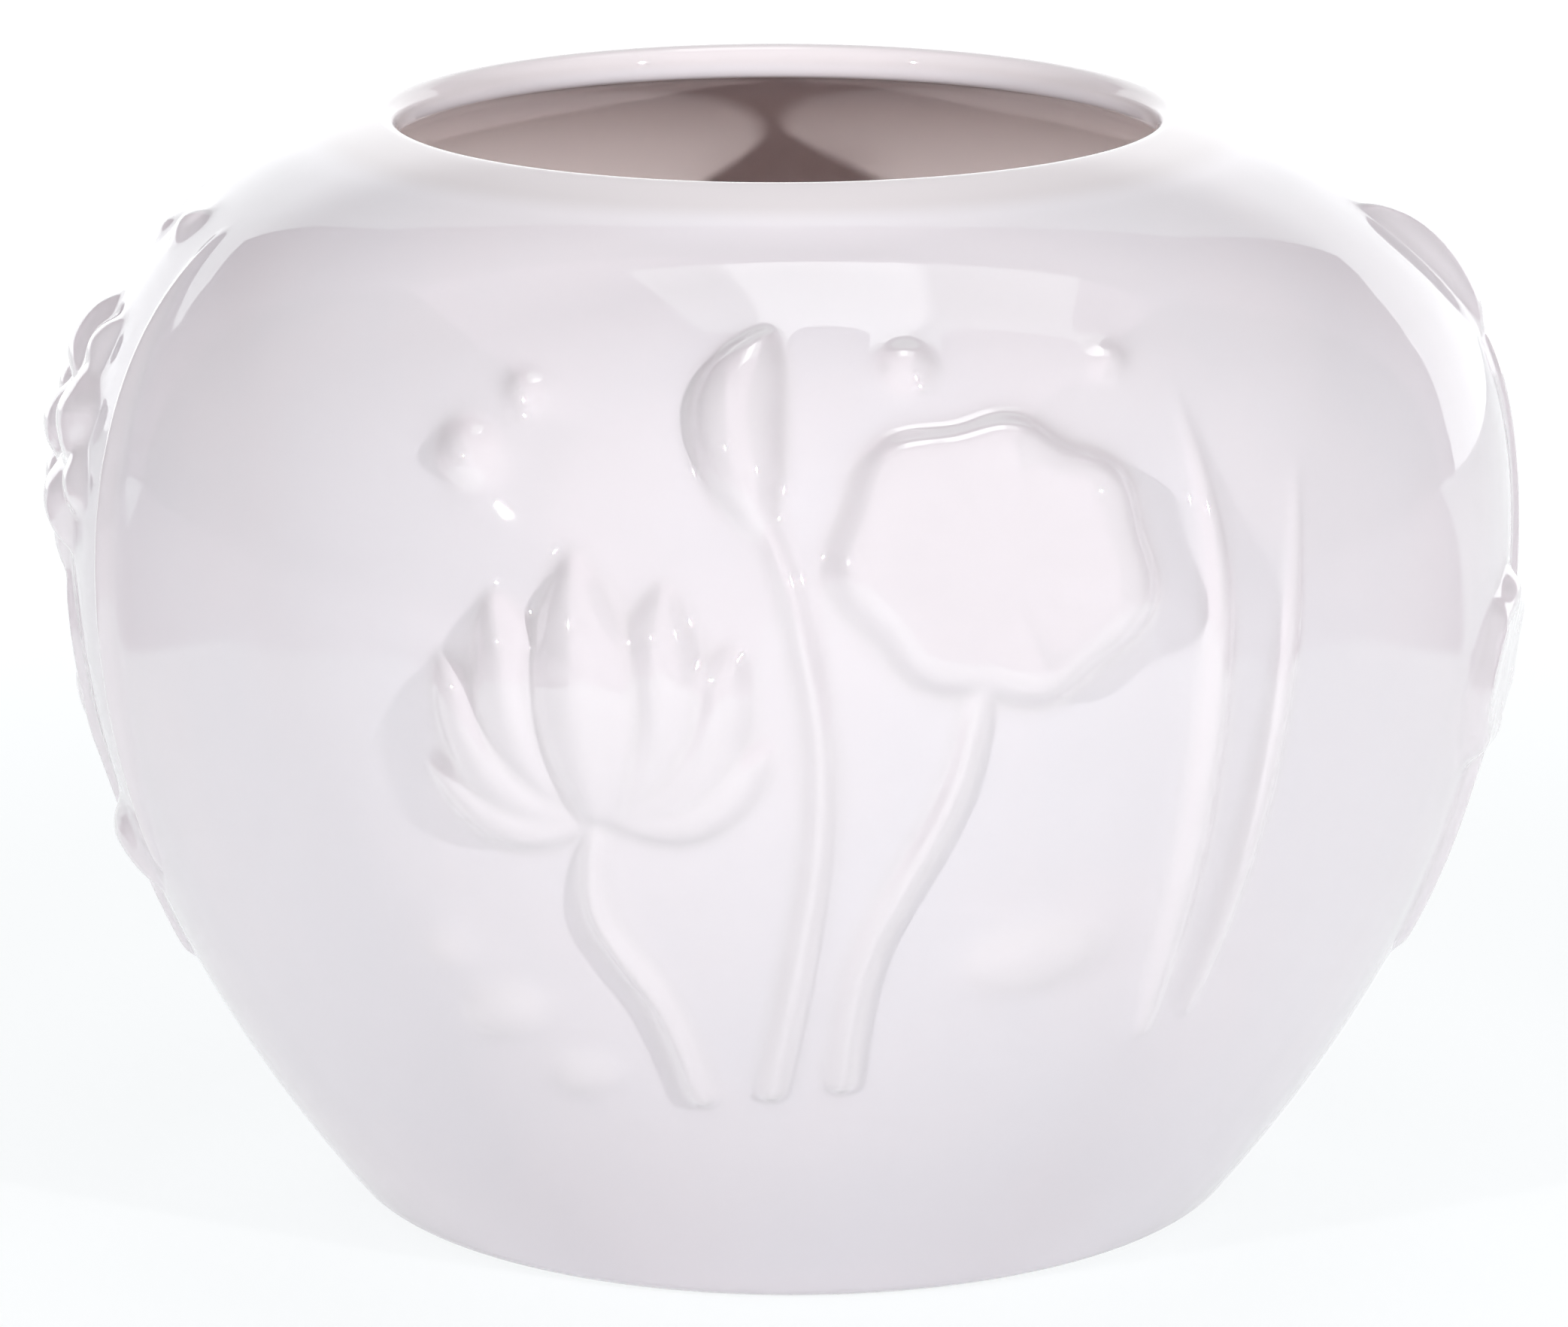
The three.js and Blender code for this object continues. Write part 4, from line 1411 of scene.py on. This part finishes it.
class VASE_OT_right_relief(bpy.types.Operator):
    """Models the right of the pond: a leaning bud and a small leaf"""

    bl_idname = "vase.right_relief"
    bl_label = "Build right relief"

    def execute(self, context):
        """Builds the right sprigs."""
        build_relief(context, "right")
        return {"FINISHED"}


class VASE_OT_back_relief(bpy.types.Operator):
    """Models the back of the pond: an open leaf, a flower, a seed pod and pebbles"""

    bl_idname = "vase.back_relief"
    bl_label = "Build back relief"

    def execute(self, context):
        """Builds the back sprigs."""
        build_relief(context, "back")
        return {"FINISHED"}


# Stage: floor, room, lamps, world and camera


CAMERA_PLACE = (-0.0016, -1.5, 0.4861)
CAMERA_TARGET = (-0.0016, 0.0, 0.1057)
CAMERA_LENS = 174.7
SENSOR_WIDTH = 36.0
FILL_LEVEL = 0.02

FLOOR_REACH = 4.0

# The floor's own brightness near the vase and far from it, the share of the lamps' shading that
# is left on it, and its faint grain
FLOOR_LIFT_NEAR = 0.88
FLOOR_LIFT_FAR = 0.99
FLOOR_DISTANCES = (0.2, 0.72)
FLOOR_SHADING = 0.15
FLOOR_GRAIN_SIZE = 0.4
FLOOR_GRAIN_TONE = 0.985

# In the gloss, the white table top ends in front and at the sides, and the room goes on below
TABLE_EDGE = (0.59, 0.64)
TABLE_TAPER = 0.9
TABLE_SPREAD = 1.6
TABLE_BLUR = 0.06
TABLE_BEYOND = 0.9

ROOM_SIDE = 2.4
ROOM_FRONT = -3.0
ROOM_BACK = 1.5
ROOM_LOW = -0.3
ROOM_HIGH = 3.7
ROOM_GLOW = {"front": 1.5, "sides": 0.42, "ceiling": 1.8, "back": 1.0, "opening": 0.96}
OPENING_BEHIND = 0.05
OPENING_BRIGHT_BELOW = (0.9, 1.4)

# Right half of the outline of the white backdrop behind the vase, as (across, up)
BACKDROP_OUTLINE = [
    (2.0, -0.3),
    (1.95, 0.3),
    (1.68, 0.76),
    (1.4, 0.94),
    (1.07, 0.99),
    (1.01, 1.3),
    (1.0, 1.8),
    (0.8, 2.1),
    (0.45, 2.44),
    (0.0, 2.61),
]

SOFTBOX = {"place": (0.207, 0.174, 1.5), "size": (0.95, 0.56), "turn": 9.5, "glow": 3.6}
SOFTBOX_CORE_PLACE = -0.09
SOFTBOX_CORE_EDGES = (0.17, 0.215)
SOFTBOX_OUTER_LEVEL = 0.5

# Each lamp: name, azimuth from the front and elevation in degrees, distance, size, watts and
# whether it is seen in the gloss
LAMPS = [
    ("left_key", -44, 17.2, 1.8, 0.05, 25.0, True),
    ("right_key", 43.5, 18.6, 1.8, 0.05, 27.0, True),
    ("overhead", 90, 86, 1.5, 0.8, 5.8, False),
    ("right_side", 105, 20, 1.5, 0.9, 1.0, False),
    ("back", 180, 14, 1.5, 0.9, 12.0, False),
]
AIM_HEIGHT = 0.12

# A net in front of each key dims it below the lip. It stands this far from the vase's axis.
NET_DISTANCE = 0.4
NET_HALF_WIDTH = 0.7
NET_FOOT = 0.001
NET_TOPS = {"left_key": 0.3005, "right_key": 0.3095}
NET_LIGHT = 0.62

# The kinds of rays that don't meet a piece seen in the gloss alone, or a net
GLOSS_ONLY = ("camera", "diffuse", "shadow", "transmission")
SHADOW_ONLY = ("camera", "diffuse", "glossy", "transmission")


def flat_piece(name, faces, material, unseen_by=()):
    """A piece of loose quads, given by lists of four corners, unseen by some kinds of rays."""
    points = np.array(faces, float).reshape(-1, 3)
    quads = np.arange(len(points)).reshape(-1, 4)
    piece = into_scene(name, mesh_from_arrays(name, points, quads))
    piece.data.materials.append(material)
    for rays in unseen_by:
        setattr(piece, f"visible_{rays}", False)
    return piece


def upright(start, end, low, high):
    """The corners of an upright face over a line on the ground."""
    return [(*start, low), (*end, low), (*end, high), (*start, high)]


def seen_directly(wiring):
    """1 for rays from the camera, from gloss and through clear things, and 0 for others."""
    path = wiring.node("ShaderNodeLightPath").outputs
    seen = wiring.maths("MAXIMUM", path["Is Camera Ray"], path["Is Glossy Ray"])
    return wiring.maths("MAXIMUM", seen, path["Is Transmission Ray"])


def blank_material(name):
    """A material without nodes, and its wiring."""
    material = bpy.data.materials.new(name)
    material.use_nodes = True
    material.node_tree.nodes.clear()
    return material, Wiring(material.node_tree)


def floor_material(colours):
    """White floor. Where it is looked at, most of its brightness doesn't depend on the lamps."""
    material, w = blank_material("pale_floor")
    place = object_place(w)
    darker = [c * FLOOR_GRAIN_TONE for c in colours.backdrop]
    tone = w.blend(noise(w, place, FLOOR_GRAIN_SIZE), rgba(colours.backdrop), rgba(darker))
    seen = seen_directly(w)
    kept = w.maths("MULTIPLY_ADD", seen, FLOOR_SHADING - 1.0, 1.0)
    x, y, _ = w.parts(place)
    away = w.maths("SQRT", w.maths("ADD", w.maths("MULTIPLY", x, x), w.maths("MULTIPLY", y, y)))
    far = w.ramp(away, *FLOOR_DISTANCES)
    lift = w.maths("MULTIPLY_ADD", far, FLOOR_LIFT_FAR - FLOOR_LIFT_NEAR, FLOOR_LIFT_NEAR)
    dimmed = w.node("ShaderNodeVectorMath", {0: tone, "Scale": kept}, operation="SCALE")
    matt = w.node("ShaderNodeBsdfDiffuse", {"Color": dimmed.outputs["Vector"]})
    across = w.maths("ABSOLUTE", x)
    reach = w.maths("ADD", across, w.maths("MULTIPLY", w.maths("MAXIMUM", y, 0.0), TABLE_TAPER))
    aside = w.maths("SUBTRACT", across, w.maths("MULTIPLY", y, TABLE_SPREAD))
    beyond = w.maths("MULTIPLY", w.ramp(reach, *TABLE_EDGE), w.ramp(aside, 0.0, TABLE_BLUR))
    glossy = w.node("ShaderNodeLightPath").outputs["Is Glossy Ray"]
    beyond = w.maths("MULTIPLY", beyond, glossy)
    glow = w.node("ShaderNodeEmission", {"Color": w.blend(beyond, tone, rgba(colours.room))})
    lift = w.maths("MULTIPLY_ADD", beyond, w.maths("SUBTRACT", TABLE_BEYOND, lift), lift)
    w.put(glow.inputs["Strength"], w.maths("MULTIPLY", seen, lift))
    both = w.node("ShaderNodeAddShader", {0: matt.outputs[0], 1: glow.outputs[0]})
    w.node("ShaderNodeOutputMaterial", {"Surface": both.outputs[0]})
    return material


def room_material(name, colours, level):
    """One wall of the room, or the white opening in its back, which is brighter low down."""
    material, w = blank_material(name)
    glow = w.node("ShaderNodeEmission", {"Color": rgba(colours.room), "Strength": level})
    if name == "room_opening":
        height = w.parts(object_place(w))[2]
        low = w.maths("SUBTRACT", 1.0, w.ramp(height, *OPENING_BRIGHT_BELOW))
        w.put(glow.inputs["Color"], rgba(colours.backdrop))
        w.put(glow.inputs["Strength"], w.maths("MULTIPLY_ADD", low, level, level))
    w.node("ShaderNodeOutputMaterial", {"Surface": glow.outputs[0]})
    return material


def softbox_material(glow_level):
    """The face of the softbox, brightest in its core."""
    material, w = blank_material("softbox_face")
    across = w.maths("SUBTRACT", w.parts(object_place(w))[0], SOFTBOX_CORE_PLACE)
    outside = w.ramp(w.maths("ABSOLUTE", across), *SOFTBOX_CORE_EDGES)
    core = w.maths("SUBTRACT", 1.0, outside)
    share_lit = w.maths("MULTIPLY_ADD", core, 1 - SOFTBOX_OUTER_LEVEL, SOFTBOX_OUTER_LEVEL)
    level = w.maths("MULTIPLY", share_lit, glow_level)
    glow = w.node("ShaderNodeEmission", {"Strength": level})
    w.node("ShaderNodeOutputMaterial", {"Surface": glow.outputs[0]})
    return material


def net_material():
    """A net that lets a part of the light through."""
    material, w = blank_material("key_net")
    net = w.node("ShaderNodeBsdfTransparent", {"Color": rgba([NET_LIGHT] * 3)})
    w.node("ShaderNodeOutputMaterial", {"Surface": net.outputs[0]})
    return material


def build_net(name, azimuth, top, material):
    """Stands a net upright across a lamp's way. It is seen by nothing but the light."""
    turn = math.radians(azimuth)
    middle = np.array([math.sin(turn), -math.cos(turn)]) * NET_DISTANCE
    side = np.array([math.cos(turn), math.sin(turn)]) * NET_HALF_WIDTH
    face = upright(middle - side, middle + side, NET_FOOT, top)
    net = flat_piece(name, [face], material, SHADOW_ONLY)


def build_world(colours):
    """White where it is looked at, and a plain fill light otherwise."""
    world = bpy.data.worlds.new("white_surround")
    world.use_nodes = True
    tree = world.node_tree
    tree.nodes.clear()
    w = Wiring(tree)
    fill = w.node("ShaderNodeBackground", {"Color": (1, 1, 1, 1), "Strength": FILL_LEVEL})
    white = w.node("ShaderNodeBackground", {"Color": rgba(colours.backdrop), "Strength": 1.0})
    mix = w.node("ShaderNodeMixShader", {0: seen_directly(w)})
    w.put(mix.inputs[1], fill.outputs[0])
    w.put(mix.inputs[2], white.outputs[0])
    w.node("ShaderNodeOutputWorld", {"Surface": mix.outputs[0]})
    bpy.context.scene.world = world


def aimed(obj, place, target):
    """Puts an object in its place and points it at a target."""
    obj.location = place
    way = Vector(target) - Vector(place)
    obj.rotation_mode = "QUATERNION"
    obj.rotation_quaternion = way.to_track_quat("-Z", "Y")


def room_walls():
    """The faces of each wall of the room. The back wall leaves the backdrop free."""
    side, front, back, low, high = ROOM_SIDE, ROOM_FRONT, ROOM_BACK, ROOM_LOW, ROOM_HIGH
    border = [(side, height) for height in (low, 0.3, 0.9, 1.3, 1.8, 2.4, high)]
    border += [(across, high) for across in (1.4, 0.7, 0.0)]
    around = []
    for sign in (1, -1):
        inner = [(sign * x, back, z) for x, z in BACKDROP_OUTLINE]
        outer = [(sign * x, back, z) for x, z in border]
        for i in range(len(inner) - 1):
            around.append([inner[i], inner[i + 1], outer[i + 1], outer[i]])
    corners = [(-side, front), (-side, back), (side, back), (side, front)]
    behind = back + OPENING_BEHIND
    return {
        "front": [upright(corners[3], corners[0], low, high)],
        "sides": [
            upright(corners[0], corners[1], low, high),
            upright(corners[2], corners[3], low, high),
        ],
        "ceiling": [[(*corner, high) for corner in corners]],
        "back": around,
        "opening": [upright((-side, behind), (side, behind), 0, high)],
    }


def on_the_sphere(azimuth, elevation, distance):
    """A place seen from the vase in a direction given in degrees, azimuth 0 at the front."""
    turn, rise = math.radians(azimuth), math.radians(elevation)
    level = distance * math.cos(rise)
    up = AIM_HEIGHT + distance * math.sin(rise)
    return (level * math.sin(turn), -level * math.cos(turn), up)


class VASE_OT_stage(bpy.types.Operator):
    """Builds the floor, the room seen in the gloss, the lamps, the world and the camera"""

    bl_idname = "vase.stage"
    bl_label = "Build stage"

    def execute(self, context):
        """Builds the stage."""
        colours = context.scene.vase_colours
        reach = FLOOR_REACH
        corners = [(-reach, -reach, 0), (reach, -reach, 0), (reach, reach, 0), (-reach, reach, 0)]
        ground = flat_piece("floor", [corners], floor_material(colours))
        for part, faces in room_walls().items():
            name = f"room_{part}"
            material = room_material(name, colours, ROOM_GLOW[part])
            wall = flat_piece(name, faces, material, GLOSS_ONLY)
        wide, deep = SOFTBOX["size"][0] / 2, SOFTBOX["size"][1] / 2
        corners = [(-wide, -deep, 0), (-wide, deep, 0), (wide, deep, 0), (wide, -deep, 0)]
        face = softbox_material(SOFTBOX["glow"])
        softbox = flat_piece("softbox", [corners], face, GLOSS_ONLY)
        softbox.location = SOFTBOX["place"]
        softbox.rotation_euler = (0, 0, math.radians(SOFTBOX["turn"]))
        for name, azimuth, elevation, distance, size, watts, in_gloss in LAMPS:
            lamp = bpy.data.lights.new(name, "AREA")
            lamp.shape = "DISK"
            lamp.size = size
            lamp.energy = watts
            obj = into_scene(name, lamp)
            aimed(obj, on_the_sphere(azimuth, elevation, distance), (0, 0, AIM_HEIGHT))
            obj.visible_camera = False
            obj.visible_glossy = in_gloss
        net = net_material()
        for name, azimuth, *_ in LAMPS:
            if name in NET_TOPS:
                build_net(f"{name}_net", azimuth, NET_TOPS[name], net)
        build_world(colours)
        camera = bpy.data.cameras.new("camera")
        camera.lens = CAMERA_LENS
        camera.sensor_width = SENSOR_WIDTH
        view = into_scene("camera", camera)
        aimed(view, CAMERA_PLACE, CAMERA_TARGET)
        context.scene.camera = view
        context.scene.view_settings.view_transform = "Standard"
        return {"FINISHED"}


class VASE_PT_build(bpy.types.Panel):
    """Lists the steps of the vase and its sizes and colours"""

    bl_idname = "VASE_PT_build"
    bl_label = "Fishbowl vase"
    bl_space_type = "VIEW_3D"
    bl_region_type = "UI"
    bl_category = "Vase"

    def draw(self, context):
        """Draws the panel."""
        for operator in OPERATORS:
            self.layout.operator(operator.bl_idname)
        for group in (context.scene.vase_sizes, context.scene.vase_colours):
            box = self.layout.box()
            for name in group.bl_rna.properties.keys():
                if name not in ("rna_type", "name"):
                    box.prop(group, name)


OPERATORS = (
    VASE_OT_bowl,
    VASE_OT_front_relief,
    VASE_OT_left_relief,
    VASE_OT_right_relief,
    VASE_OT_back_relief,
    VASE_OT_stage,
)
CLASSES = (VaseSizes, VaseColours, *OPERATORS, VASE_PT_build)


def register():
    """Adds the classes and the settings of the scene."""
    for cls in CLASSES:
        bpy.utils.register_class(cls)
    bpy.types.Scene.vase_sizes = bpy.props.PointerProperty(type=VaseSizes)
    bpy.types.Scene.vase_colours = bpy.props.PointerProperty(type=VaseColours)


def unregister():
    """Takes them away again."""
    del bpy.types.Scene.vase_colours
    del bpy.types.Scene.vase_sizes
    for cls in reversed(CLASSES):
        bpy.utils.unregister_class(cls)


def main():
    """Builds the vase and its stage."""
    register()
    bpy.ops.vase.bowl()
    bpy.ops.vase.front_relief()
    bpy.ops.vase.left_relief()
    bpy.ops.vase.right_relief()
    bpy.ops.vase.back_relief()
    bpy.ops.vase.stage()


if __name__ == "__main__":
    main()
